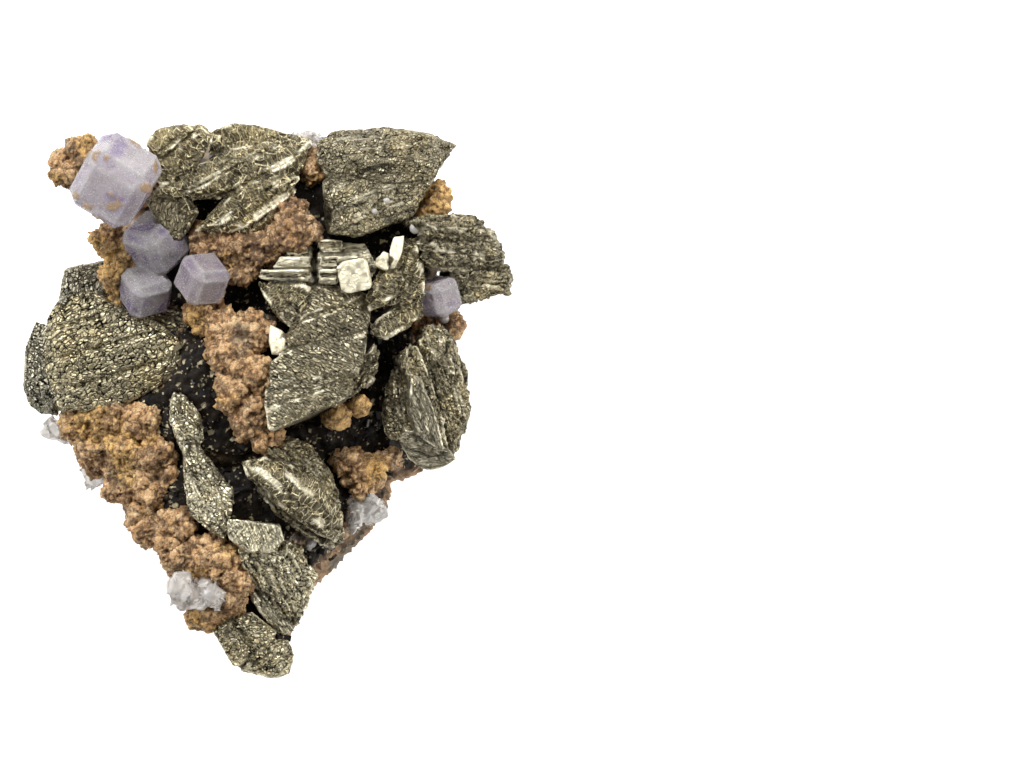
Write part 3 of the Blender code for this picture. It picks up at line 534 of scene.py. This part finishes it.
def carve(points, crystal, seed):    # height of one crystal's skin, and the painted shade in its cracks
    x, y, z, riseX, riseY, grainX, grainY, _, _, name = crystal
    skin = skins[name]
    out = np.array([-riseX, -riseY, 1.0])
    out /= np.linalg.norm(out)
    grain = np.array([grainX, grainY, riseX * grainX + riseY * grainY])
    grain /= np.linalg.norm(grain)
    side = np.cross(out, grain)
    local = points - np.array([x, y, z])
    u, v, w = local @ grain, local @ side, local @ out
    warp = layeredNoise(np.stack([u / 5, v / 3, w / 3], 1) + 3.1, seed, 4)
    bend = skin["bend"]
    phase = (v + 0.8 * w + warp * bend) / skin["ridge"] + u * 0.015
    number = np.floor(phase)
    share = phase - number
    own = scattered(np.stack([number, number * 0, number * 0], 1).astype(np.int64), seed + 5)
    ledge = ramp(share, 0.0, 0.75) - ramp(share, 0.86, 1.0)
    height = skin["ridgeRise"] * (ledge - 0.5 + 0.6 * (own - 0.5))
    edge = 1 - ramp(np.minimum(share, 1 - share) * skin["ridge"], 0.04, 0.26)
    angle = math.radians(skin["turn"])
    cu, cv = u * math.cos(angle) + v * math.sin(angle), v * math.cos(angle) - u * math.sin(angle)
    jog = own * 3.7
    wobble = layeredNoise(np.stack([u, v, w], 1) / 1.6, seed + 9, 2) * 0.35 * min(bend, 1)
    cells = Cells(np.stack([(cu + jog + wobble) / skin["long"], (cv + wobble) / skin["wide"],
                            w / max(skin["wide"], 0.8)], 1), seed + 20)
    blockLong, blockWide, blockHigh = sulphide["blockSize"]
    blocks = Cells(np.stack([(u + jog) / blockLong, v / blockWide, w / blockHigh], 1), seed + 40)
    gap = 1 - ramp(cells.border, 0.02, 0.26)
    patchy = scattered(cells.cell, seed + 77) + softNoise(local / 2.5, seed + 3) * 0.4
    gap *= ramp(patchy, 0.15, 0.6)
    split = (1 - ramp(blocks.border, 0.0, 0.14)) * (blocks.own(5) > 0.35)
    height = height + skin["cellRise"] * cells.tilt() * 0.8 + skin["block"] * (blocks.own(4) - 0.5)
    height -= skin["crack"] * (gap + 1.8 * split + 1.5 * edge)
    # Painted shade in the cell gaps, block seams and under ledge edges
    edge = edge * (0.4 + 0.7 * skin["dark"]) * (skin["ridgeRise"] > 0.1)
    dark = np.clip(gap * skin["dark"] + split * 0.7 + edge, 0, 1)
    if name == "mirror":
        dark *= 0.2
    tone = own if name == "step" else cells.own(6) * 0.55 + blocks.own(7) * 0.45
    fineLong, fineWide = skin["fine"]
    weave = np.stack([(cu + jog + wobble) / fineLong, (cv + wobble * 0.7) / fineWide,
                      w / 0.6], 1) + seed % 97
    return height, dark, tone, weave


def groupSkin(points, group, seed):  # the skin of each of a group's crystals, point by point
    which, gap = crystalOf(points, group)
    look = {name: np.zeros(len(points)) for name in ("height", "dark", "tone", "plain", "grey",
                                                     "cream", "lace", "rim")}
    look["weave"] = points * 0
    look["gap"] = gap
    for number, crystal in enumerate(group):
        mine = which == number
        if not mine.any():
            continue
        carved = carve(points[mine], crystal, seed + 50 * number)
        for name, values in zip(("height", "dark", "tone", "weave"), carved):
            look[name][mine] = values
        for name in ("plain", "grey", "cream", "lace", "rim"):
            look[name][mine] = skins[crystal[-1]][name]
        # Only the brighter-toned steps keep the painted cream reflection
        if crystal[-1] == "step":
            look["cream"][mine] *= ramp(look["tone"][mine], 0.35, 0.65)
    return look


def stepGap(points):                 # the gap between the two stacks of steps
    gapX, gapY = sulphide["gapAt"]
    gapWide, gapHigh = sulphide["gapSize"]
    wander = 0.25 * softNoise(points / 1.1, 76)
    notch = 1 - ramp(np.abs(points[:, 0] + wander - gapX) - gapWide, -0.1, 0.1)
    return notch * (np.abs(points[:, 1] - gapY) < gapHigh)


def edgeLook(node, points, normals, look):   # painted highlight rims, painted shade in creases and joins, and in the gap
    sharp, creased = sharpLines(node, sulphide["sharp"], sulphide["creased"])
    plain, lace, shine = look["plain"], look["lace"], look["rim"]
    boxy = plain > sulphide["boxy"]
    crease = 1 - ramp(awayFrom(points, creased), *sulphide["creaseWide"])
    crease *= np.maximum(ramp(softNoise(points / 2.3, 79), -0.45, 0.25), plain)
    rim = shine - shine * ramp(awayFrom(points, sharp) * (1 - 0.45 * lace), *sulphide["rimWide"])
    rim *= np.maximum(ramp(softNoise(points / 1.7, 77), -0.10, 0.35), boxy)
    rim *= normals[:, 2] > 0.05
    leafJoin, stepJoin = sulphide["joinWide"]
    join = 1 - ramp(look["gap"], 0.0, np.where(boxy, stepJoin, leafJoin))
    notch = stepGap(points) * boxy
    join = np.maximum(np.maximum(join, crease), notch)
    deep = sulphide["creaseDeep"] * crease + sulphide["joinDeep"] * join * boxy
    return rim, join, deep + sulphide["gapDeep"] * notch


def makeSulphide(material):
    for count, (node, group) in enumerate(crystals.items()):
        piece = fineMesh(node, sulphide["voxel"], blocks=sulphide["blocks"].get(node, ()),
                         soften=sulphide["soften"].get(node, 0))
        points, normals = pointsOf(piece), normalsOf(piece)
        look = groupSkin(points, group, 1000 * count)
        rim, join, deep = edgeLook(node, points, normals, look)
        reshape(piece, points + normals * (look["height"] - deep)[:, None])
        pitted = ramp(softNoise(points / 0.8, 78), 0.25, 0.55) * 0.45
        # Painted highlight rims and painted cream reflection, none on joins; then painted shade in
        # cracks and joins
        note(piece, "rim", np.maximum(rim, look["cream"] * (1 - pitted)) * (1 - join))
        note(piece, "crack", np.maximum(look["dark"] * (1 - rim), join))
        # The group's painted light shift
        note(piece, "light", np.full(len(points), sulphide["light"][node]))
        for name in ("grey", "lace", "tone", "plain"):
            note(piece, name, look[name])
        noteWay(piece, "weave", look["weave"])
        finishPiece(piece, node, material, smooth=False)
        firsts = [face.vertices[0] for face in piece.data.polygons]      # flat skins are smooth
        piece.data.polygons.foreach_set("use_smooth", (look["plain"][firsts] > 0.3).tolist())
        print("  ", node, len(piece.data.polygons) * 2, "triangles")


print("arsenopyrite crystals")
makeSulphide(sulphideMaterial())


# Siderite: grainy tan lumps with rounder, yellower drops

siderite = {
    "voxel": 0.275,
    "lumpsPerSquare": 0.16,
    "lump": (0.6, 1.9),
    "lobe": 2.8,
    "lobeRise": 0.8,
    "grain": 1.2,
    "grainRise": 0.35,
    "small": 0.55,
    "smallRise": 0.45,
    "crumbRise": 0.55,
    # deep is the darkest grain tone and also the painted shade in pits and crevices
    "deep": (0.060, 0.026, 0.009),
    "tan": (0.55, 0.315, 0.13),
    "pale": (0.84, 0.59, 0.33),
    "honey": (0.76, 0.47, 0.15),
    "dusty": (0.22, 0.20, 0.14),
    "dropsRise": 0.4,                # how rough the round drops are beside the rest
    "greyAt": (-4.6, 9.8, 34.0),     # the middle of a dusty grey patch
    "shade": {"siderite_upper_middle": 0.28},
    "yellow": ("siderite_drops", "siderite_upper_right"),
}
sideriteNodes = [name for name in sorted(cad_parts) if name.startswith("siderite")]


def sideriteMaterial():
    s = Shader("sideriteGrains")
    crack, tone, honey = s.kept("crack"), s.kept("tone"), s.kept("honey")
    fine = s.noise(0.3, 4.0, 0.7)
    edge, own, slant = s.facets(s.place, 1 / (0.42 * mm))
    groove = (1 - edge * 7.0).clamped()
    colour = s.stops(tone * 0.35 + s.noise(3.0, 4.0) * 0.4 + fine * 0.15 + own * 0.2,
                     (0.36, siderite["deep"]), (0.50, siderite["tan"]), (0.70, siderite["pale"]))
    colour = s.mixed(honey, colour, siderite["honey"])
    colour = s.mixed(((s.noise(5.0, 5.0, 0.7) - 0.56) * 7.0 + s.kept("dusty") * 1.2).clamped()
                     * 0.6, colour, siderite["dusty"])
    # Painted shade in the pits, between lobes and in the grain seams
    colour = s.mixed((crack + groove * 0.45).clamped() * 0.9, colour, siderite["deep"])
    s.set(Base_Color=colour, Roughness=0.4 + fine * 0.4, Subsurface_Weight=0.05,
          Subsurface_Scale=0.0005,
          Normal=s.bump(slant * 600.0 - groove * 0.3 + fine * 0.3, 0.20, 1.0))
    return s.material


def lumpsOn(node, count, low, high, seed):    # smaller lumps seated on a solid
    rng = random.Random(seed)
    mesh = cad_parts[node].data
    mesh.calc_loop_triangles()
    faces = [face for face in mesh.loop_triangles if face.normal.z > -0.2]
    chosen = rng.choices(faces, weights=[face.area for face in faces], k=count)
    lumps = []
    for face in chosen:
        a, b = sorted((rng.random(), rng.random()))
        corners = [mesh.vertices[i].co for i in face.vertices]
        spot = corners[0] * a + corners[1] * (b - a) + corners[2] * (1 - b)
        radius = rng.uniform(low, high)
        lumps.append((spot / mm - face.normal * radius * 0.25, radius))
    return lumps


def makeSiderite(material):
    for node in sideriteNodes:
        area = sum(face.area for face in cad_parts[node].data.polygons) / mm ** 2
        many = 0 if node.endswith("drops") else int(area * siderite["lumpsPerSquare"])
        lumps = lumpsOn(node, many, *siderite["lump"], seed=node)
        piece = fineMesh(node, siderite["voxel"], lumps)
        points, normals = pointsOf(piece), normalsOf(piece)
        wobble = np.stack([layeredNoise(points / 1.3 + k * 7, 300 + k, 3) for k in range(3)], 1)
        big = Cells((points + wobble * 0.55) / siderite["grain"], 400)
        little = Cells((points + wobble * 0.25) / siderite["small"], 500)
        lobes = Cells((points + wobble * 1.1) / siderite["lobe"], 450)
        ball = np.sqrt(np.clip(1 - (big.reach / 0.95) ** 2, 0, 1))
        pip = np.sqrt(np.clip(1 - (little.reach / 0.9) ** 2, 0, 1))
        lobe = np.sqrt(np.clip(1 - (lobes.reach / 0.95) ** 2, 0, 1))
        crumb = np.abs(softNoise(points / 0.9, 620)) + 0.5 * np.abs(softNoise(points / 0.45, 621))
        rough = siderite["dropsRise"] if node.endswith("drops") else 1.0
        height = siderite["grainRise"] * (ball - 0.78 + 0.5 * (big.own(2) - 0.5))
        height += siderite["smallRise"] * (little.tilt() + 0.5 * (pip - 0.75))
        height += siderite["lobeRise"] * (lobe - 0.72) + siderite["crumbRise"] * (crumb - 0.45)
        height = (height + 0.45 * layeredNoise(points / 2.6, 600, 2)) * rough
        reshape(piece, points + normals * height[:, None])
        yellow = ramp(softNoise(points / 6 + 20, 700) + 0.4 * (big.own(3) - 0.5), 0.25, 0.6)
        if node in siderite["yellow"]:
            yellow = np.maximum(yellow, 0.75)
        # Painted shade in pits and between lobes, more on the shaded lump
        pit = 1 - ramp(ball * 0.4 + pip * 0.3 + crumb * 0.6, 0.42, 0.85)
        dark = np.maximum(pit, 0.8 - ramp(lobes.border, 0.0, 0.2) * 0.8)
        note(piece, "crack", siderite["shade"].get(node, 0.0) + dark)
        note(piece, "tone", big.own(1) * 0.35 + little.own(1) * 0.35 + crumb * 0.3)
        note(piece, "honey", yellow * 0.8)
        away = np.linalg.norm((points - siderite["greyAt"]) * (1, 1, 0.5), axis=1)
        note(piece, "dusty", 1 - ramp(away + 1.2 * wobble[:, 0], 1.4, 3.2))
        finishPiece(piece, node, material)


print("siderite grains")
makeSiderite(sideriteMaterial())


# Fluorite: frosted violet crystals with paler faces, specks and pits

fluorite = {
    "voxel": {"fluorite_large": 0.2775, "fluorite_pair": 0.222, "fluorite_middle": 0.222,
              "fluorite_right": 0.222},
    "deep": {"fluorite_large": 0.05, "fluorite_pair": 0.0, "fluorite_middle": 0.75,
             "fluorite_right": 0.6},
    "bare": {"fluorite_large": 0.70, "fluorite_pair": 0.95, "fluorite_middle": 0.95,
             "fluorite_right": 0.95},        # the share of it without specks
    "pitSize": 1.7,
    "pit": 0.14,
    "speckSize": (3.2, 2.6, 2.6),
    "speckRise": 0.25,
    "pale": (0.83, 0.78, 0.79),
    "violet": (0.38, 0.30, 0.52),
    "grey": (0.52, 0.48, 0.46),
    "white": (0.92, 0.89, 0.87),
    "smoky": (0.46, 0.37, 0.40),
    "speck": (0.62, 0.42, 0.22),
    "rough": (0.10, 0.40),
}


def fluoriteMaterial():
    s = Shader("fluoriteViolet")
    zone, frost, cloud = s.noise(4.5, 2.0), s.noise(0.32, 5.0, 0.8), s.noise(1.3, 4.0, 0.65)
    colour = s.mixed(((zone - 0.50) * 7.0).clamped(), fluorite["pale"], fluorite["violet"])
    colour = s.mixed(((cloud - 0.48) * 7.0).clamped() * 0.7, colour, fluorite["grey"])
    colour = s.mixed(((frost - 0.56) * 9.0).clamped() * 0.8, colour, fluorite["white"])
    colour = s.mixed(((0.43 - frost) * 9.0).clamped() * 0.5, colour, fluorite["violet"])
    edge, own, slant = s.facets(s.place, 1 / (1.7 * mm))
    streak = (1 - edge * 30.0).clamped() * ((cloud - 0.46) * 9.0).clamped()
    colour = s.mixed(streak * 0.5, colour, fluorite["white"])
    colour = s.mixed(s.kept("face") * 0.2 + own * 0.1, colour, fluorite["violet"])
    colour = s.mixed(s.kept("deep") * 0.6, colour, fluorite["smoky"])
    colour = s.mixed(s.kept("rim") * 0.45, colour, fluorite["white"])
    colour = s.mixed(s.kept("speck"), colour, fluorite["speck"])
    clear, dull = fluorite["rough"]
    s.set(Base_Color=colour, Roughness=clear + ((frost - 0.4) * 3.0).clamped() * (dull - clear),
          Transmission_Weight=0.55, IOR=1.434,
          Normal=s.bump(frost * 1.4 + cloud + slant * 250.0, 0.22, 1.0))
    return s.material


def makeFluorite(material):
    for count, (node, voxel) in enumerate(fluorite["voxel"].items()):
        piece = fineMesh(node, voxel)
        points, normals = pointsOf(piece), normalsOf(piece)
        pits = Cells(points / fluorite["pitSize"], 800 + count)
        pit = (1 - ramp(pits.reach, 0.12, 0.34)) * (pits.own(1) > 0.6)
        steps = layeredNoise(points / 2.2, 820 + count, 3)
        speckCells = Cells(points / np.array(fluorite["speckSize"]), 840 + count)
        ragged = layeredNoise(points / 0.9, 860 + count, 3)
        speck = 1 - ramp(speckCells.reach + 0.25 * steps + 0.18 * ragged, 0.32, 0.42)
        speck *= speckCells.own(2) > fluorite["bare"][node]
        height = 0.05 * steps - fluorite["pit"] * pit + fluorite["speckRise"] * speck
        reshape(piece, points + normals * height[:, None])
        note(piece, "speck", speck)
        faces = scattered(np.round(normals * 1.6).astype(np.int64) + 5, 870 + count)
        note(piece, "face", faces)
        sharp = sharpLines(node, 15, 15)[0]
        note(piece, "rim", 1 - ramp(awayFrom(points, sharp) + 0.35 * steps, 0.1, 0.8))
        note(piece, "deep", np.full(len(points), fluorite["deep"][node]))
        finishPiece(piece, node, material)


print("fluorite crystals")
makeFluorite(fluoriteMaterial())


# Quartz: white to pale grey, broken and sugary

quartz = {
    "voxel": 0.30,
    "facet": 2.2,
    "facetRise": 0.405,
    "small": 0.7,
    "smallRise": 0.15,
    "clear": (0.80, 0.77, 0.74),
    "cloudy": (0.90, 0.86, 0.81),
    "shade": (0.66, 0.62, 0.57),
}
quartzNodes = [name for name in sorted(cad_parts) if name.startswith("quartz")]


def quartzMaterial():
    s = Shader("quartzWhite")
    cloud, fine = s.noise(2.5, 3.0), s.noise(0.6, 3.0)
    colour = s.mixed(((cloud - 0.35) * 3.0).clamped(), quartz["clear"], quartz["cloudy"])
    colour = s.mixed(s.kept("crack") * 0.6, colour, quartz["shade"])
    s.set(Base_Color=colour, Roughness=0.12 + cloud * 0.4, Transmission_Weight=0.6, IOR=1.544,
          Normal=s.bump(fine, 0.08, 0.7))
    return s.material


def makeQuartz(material):
    for count, node in enumerate(quartzNodes):
        piece = fineMesh(node, quartz["voxel"])
        points, normals = pointsOf(piece), normalsOf(piece)
        facets = Cells(points / quartz["facet"], 900 + count)
        small = Cells(points / quartz["small"], 950 + count)
        sugary = ramp(softNoise(points / 4, 980), -0.2, 0.3)
        height = quartz["facetRise"] * facets.tilt() + quartz["smallRise"] * small.tilt() * sugary
        reshape(piece, points + normals * height[:, None])
        note(piece, "crack", (1 - ramp(facets.border, 0.0, 0.14)) * 0.8)
        finishPiece(piece, node, material)


print("quartz")
quartzSkin = quartzMaterial()
makeQuartz(quartzSkin)


# Matrix: a dark sparkling crust of tiny crystals on top, broken grainy rock at the sides

matrix = {
    "voxel": 0.62,
    "facet": 1.0,
    "facetRise": 0.8,
    "black": (0.004, 0.003, 0.0025),
    "brown": (0.022, 0.015, 0.009),
    "glint": (0.55, 0.48, 0.32),
    "tan": (0.48, 0.31, 0.18),
    "grey": (0.20, 0.185, 0.15),
    "brownRock": (0.30, 0.20, 0.12),
    "white": (0.70, 0.67, 0.64),
}


def matrixMaterial():
    s = Shader("matrixCrust")
    crack, tone, flank, back = s.kept("crack"), s.kept("tone"), s.kept("flank"), s.kept("back")
    fine, patch = s.noise(0.45, 4.0, 0.7), s.noise(9.0, 6.0, 0.6)
    _, own, slant = s.facets(s.place, 1 / (0.7 * mm))
    tinyEdge, tinyOwn, tinySlant = s.facets(s.place, 1 / (0.38 * mm))
    druse = s.stops(tone * 0.4 + own * 0.6, (0.3, matrix["black"]), (0.70, matrix["brown"]),
                    (0.78, matrix["glint"]))
    glint = ((tinyOwn - 0.80) * 25.0).clamped() * (tinyEdge * 6.0).clamped()
    druse = s.mixed(glint, druse, matrix["glint"])
    rock = s.stops(patch * 0.75 + tone * 0.06 + fine * 0.19, (0.38, matrix["grey"]),
                   (0.46, matrix["brownRock"]), (0.54, matrix["tan"]), (0.64, matrix["white"]))
    colour = s.mixed(flank, druse, rock)
    colour = s.mixed(back, colour, s.mixed(fine, matrix["grey"], matrix["tan"]))
    # Painted shade in the seams between facets, weaker on the flanks, none on the back
    colour = s.mixed(crack * (1 - back) * (1 - flank * 0.7) * 0.85, colour, matrix["black"])
    s.set(Base_Color=colour, Metallic=(tone - 0.55) * (1 - flank) * 2.0,
          Roughness=0.48 + flank * 0.3, Specular_IOR_Level=0.12,
          Normal=s.bump(slant * 600.0 + tinySlant * 500.0 + fine * 0.2, 0.3, 1.0))
    return s.material


def makeMatrix(material):
    piece = fineMesh("matrix", matrix["voxel"])
    points, normals = pointsOf(piece), normalsOf(piece)
    facets = Cells(points / matrix["facet"], 1100)
    lumps = layeredNoise(points / 5, 1150, 3)
    foot = ramp(points[:, 2], 0.2, 2.0)
    height = (matrix["facetRise"] * facets.tilt() + 0.35 * lumps) * foot
    points = points + normals * height[:, None]
    points[:, 2] = np.maximum(points[:, 2], 0.0)
    reshape(piece, points)
    # The facet seams, which the material paints with shade
    note(piece, "crack", 1 - ramp(facets.border, 0.0, 0.2))
    note(piece, "tone", facets.own(1))
    crust = ramp(normals[:, 2] + 0.2 * lumps, 0.25, 0.65) * ramp(points[:, 2], 8, 14)
    note(piece, "flank", 1 - crust)
    note(piece, "back", 1 - foot)
    finishPiece(piece, "matrix", material)
    print("   matrix", len(piece.data.polygons) * 2, "triangles")


print("matrix")
makeMatrix(matrixMaterial())


# Tiny crystals: quartz points on the quartz, pale beads, dark and bronze chips on the matrix

tiny = {
    "points": 260,
    "pointSize": (0.25, 0.55),
    "beads": [(19.8, 33.2, 0.55), (17.8, 31.4, 0.50),        # x, y and radius
              (24.6, 28.6, 0.95), (29.3, 13.7, 0.9)],
    "chips": 900,
    "chipSize": (0.45, 1.7),
    "bronzeShare": 0.15,
    "clearance": 1.6,                # mm, a spot with anything further above it isn't seen
    "black": (0.006, 0.005, 0.004),
    "slate": (0.05, 0.045, 0.035),
    "bronze": (0.50, 0.44, 0.28),
}


def spotsOn(nodes, count, rng, flattest, lowest):     # random spots that can be seen from above
    faces = []
    for node in nodes:
        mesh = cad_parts[node].data
        mesh.calc_loop_triangles()
        for face in mesh.loop_triangles:
            corners = [mesh.vertices[i].co / mm for i in face.vertices]
            if face.normal.z > flattest and max(corner.z for corner in corners) > lowest:
                faces.append((face.area, corners, face.normal.copy()))
    spots = []
    graph = bpy.context.evaluated_depsgraph_get()
    areas = [face[0] for face in faces]
    for _, corners, normal in rng.choices(faces, weights=areas, k=count):
        a, b = sorted((rng.random(), rng.random()))
        spot = corners[0] * a + corners[1] * (b - a) + corners[2] * (1 - b)
        above = (spot + Vector((0, 0, tiny["clearance"]))) * mm
        if not scene.ray_cast(graph, above, (0, 0, 1))[0]:
            spots.append((spot, normal))
    return spots


def joinedPiece(name, bm, material, smooth=False):
    mesh = bpy.data.meshes.new(name)
    bm.to_mesh(mesh)
    bm.free()
    piece = bpy.data.objects.new(name, mesh)
    scene.collection.objects.link(piece)
    finishPiece(piece, None, material, smooth)
    return piece


def makePoints(material):
    rng = random.Random(31)
    bm = bmesh.new()
    for spot, normal in spotsOn(quartzNodes, tiny["points"], rng, 0.0, 8.0):
        size = rng.uniform(*tiny["pointSize"])
        way = (normal + Vector([rng.uniform(-0.6, 0.6) for _ in range(3)])).to_track_quat("Z", "X")
        turn = way.to_matrix().to_4x4() @ Matrix.Rotation(rng.uniform(0, 3), 4, "Z")
        place = Matrix.Translation((spot + normal * size * 0.3) * mm) @ turn
        bmesh.ops.create_cone(bm, cap_ends=True, segments=6, radius1=size * mm,
                              radius2=size * 0.15 * mm, depth=size * 2.2 * mm, matrix=place)
    joinedPiece("quartzPoints", bm, material)


def makeBeads(material):             # each bead is dropped from above on to what is there
    bm = bmesh.new()
    graph = bpy.context.evaluated_depsgraph_get()
    for x, y, radius in tiny["beads"]:
        place = scene.ray_cast(graph, (x * mm, y * mm, 0.2), (0, 0, -1))[1]
        bmesh.ops.create_icosphere(bm, subdivisions=3, radius=radius * mm,
                                   matrix=Matrix.Translation(place))
    joinedPiece("paleBeads", bm, material, smooth=True)


def chipMaterial():
    s = Shader("darkChips")
    tone = s.kept("tone")
    colour = s.stops(tone, (0.55, tiny["black"]), (0.80, tiny["slate"]), (0.90, tiny["bronze"]))
    s.set(Base_Color=colour, Metallic=((tone - 0.75) * 6.0).clamped(), Roughness=0.30,
          Specular_IOR_Level=0.35, Normal=s.bump(s.noise(0.3, 3.0), 0.05, 0.6))
    return s.material


def makeChips(material):
    rng = random.Random(32)
    bm = bmesh.new()
    tones = []
    for spot, normal in spotsOn(["matrix"], tiny["chips"], rng, 0.25, 12.0):
        size = rng.uniform(*tiny["chipSize"]) * rng.uniform(0.6, 1.0)
        tones.append(rng.random())
        if tones[-1] > 1 - tiny["bronzeShare"]:
            size *= 0.6
        turn = Euler([rng.uniform(0, 6.3) for _ in range(3)]).to_matrix().to_4x4()
        wide, high = size * rng.uniform(0.5, 1.0), size * rng.uniform(0.3, 0.8)
        shape = Matrix.Diagonal((size, wide, high, 1))
        place = Matrix.Translation((spot - normal * size * 0.1) * mm)
        bmesh.ops.create_cube(bm, size=mm, matrix=place @ turn @ shape)
    piece = joinedPiece("matrixChips", bm, material)
    note(piece, "tone", np.repeat(tones, 8))


print("tiny crystals")
bpy.context.view_layer.update()
makePoints(quartzSkin)
makeBeads(quartzSkin)
makeChips(chipMaterial())


# Floor, light and camera

studio = {
    "floor": (0.93, 0.93, 0.93),
    "floorGlow": 0.75,
    "floorHalf": 2.0,                # metres, as are the lamps' places and sizes
    "world": 0.15,
    "lampAim": (0, 0, 0.02),
    "lamps": {                       # place, size, power and colour
        "topLight": ((-0.1, 0.85, 0.80), (0.8, 0.4), 16, (1, 1, 1)),
        "leftLight": ((-0.9, 0.15, 0.75), (0.3, 0.6), 8, (1, 1, 1)),
        "rightLight": ((0.95, -0.1, 0.48), (0.35, 0.6), 7.0, (1.0, 0.98, 0.94)),
    },
    "aim": (40.7, 2.7, 28.0),        # mm, as are the next two
    "distance": 1500.0,
    "frameWidth": 170.67,
    "sensor": 36.0,
}


def makeFloor():
    mesh = bpy.data.meshes.new("floor")
    half = studio["floorHalf"]
    corners = [(-half, -half, 0), (half, -half, 0), (half, half, 0), (-half, half, 0)]
    mesh.from_pydata(corners, [], [(0, 1, 2, 3)])
    floor = bpy.data.objects.new("floor", mesh)
    scene.collection.objects.link(floor)
    s = Shader("floorPaper")
    s.set(Base_Color=studio["floor"], Roughness=0.9, Emission_Color=(1.0, 1.0, 1.0),
          Emission_Strength=studio["floorGlow"])
    mesh.materials.append(s.material)


def softBox(name, place, size, power, colour):
    lamp = bpy.data.lights.new(name, "AREA")
    lamp.shape, lamp.size, lamp.size_y = "RECTANGLE", size[0], size[1]
    lamp.energy, lamp.color = power, colour
    box = bpy.data.objects.new(name, lamp)
    scene.collection.objects.link(box)
    box.location = place
    facing = Vector(studio["lampAim"]) - Vector(place)
    box.rotation_euler = facing.to_track_quat("-Z", "Y").to_euler()


def makeStudio():
    makeFloor()
    for name, lamp in studio["lamps"].items():
        softBox(name, *lamp)
    world = bpy.data.worlds.new("studio")
    scene.world = world
    world.use_nodes = True
    sky = world.node_tree.nodes["Background"]
    sky.inputs["Color"].default_value = (1, 1, 1, 1)
    sky.inputs["Strength"].default_value = studio["world"]
    lens = bpy.data.cameras.new("camera")
    lens.sensor_width = studio["sensor"]
    lens.lens = studio["sensor"] * studio["distance"] / studio["frameWidth"]
    lens.clip_start, lens.clip_end = 0.05, 10.0
    camera = bpy.data.objects.new("camera", lens)
    scene.collection.objects.link(camera)
    x, y, z = studio["aim"]
    camera.location = (x * mm, y * mm, (z + studio["distance"]) * mm)
    scene.camera = camera
    scene.view_settings.view_transform = "Standard"


print("studio")
makeStudio()
bpy.context.view_layer.update()
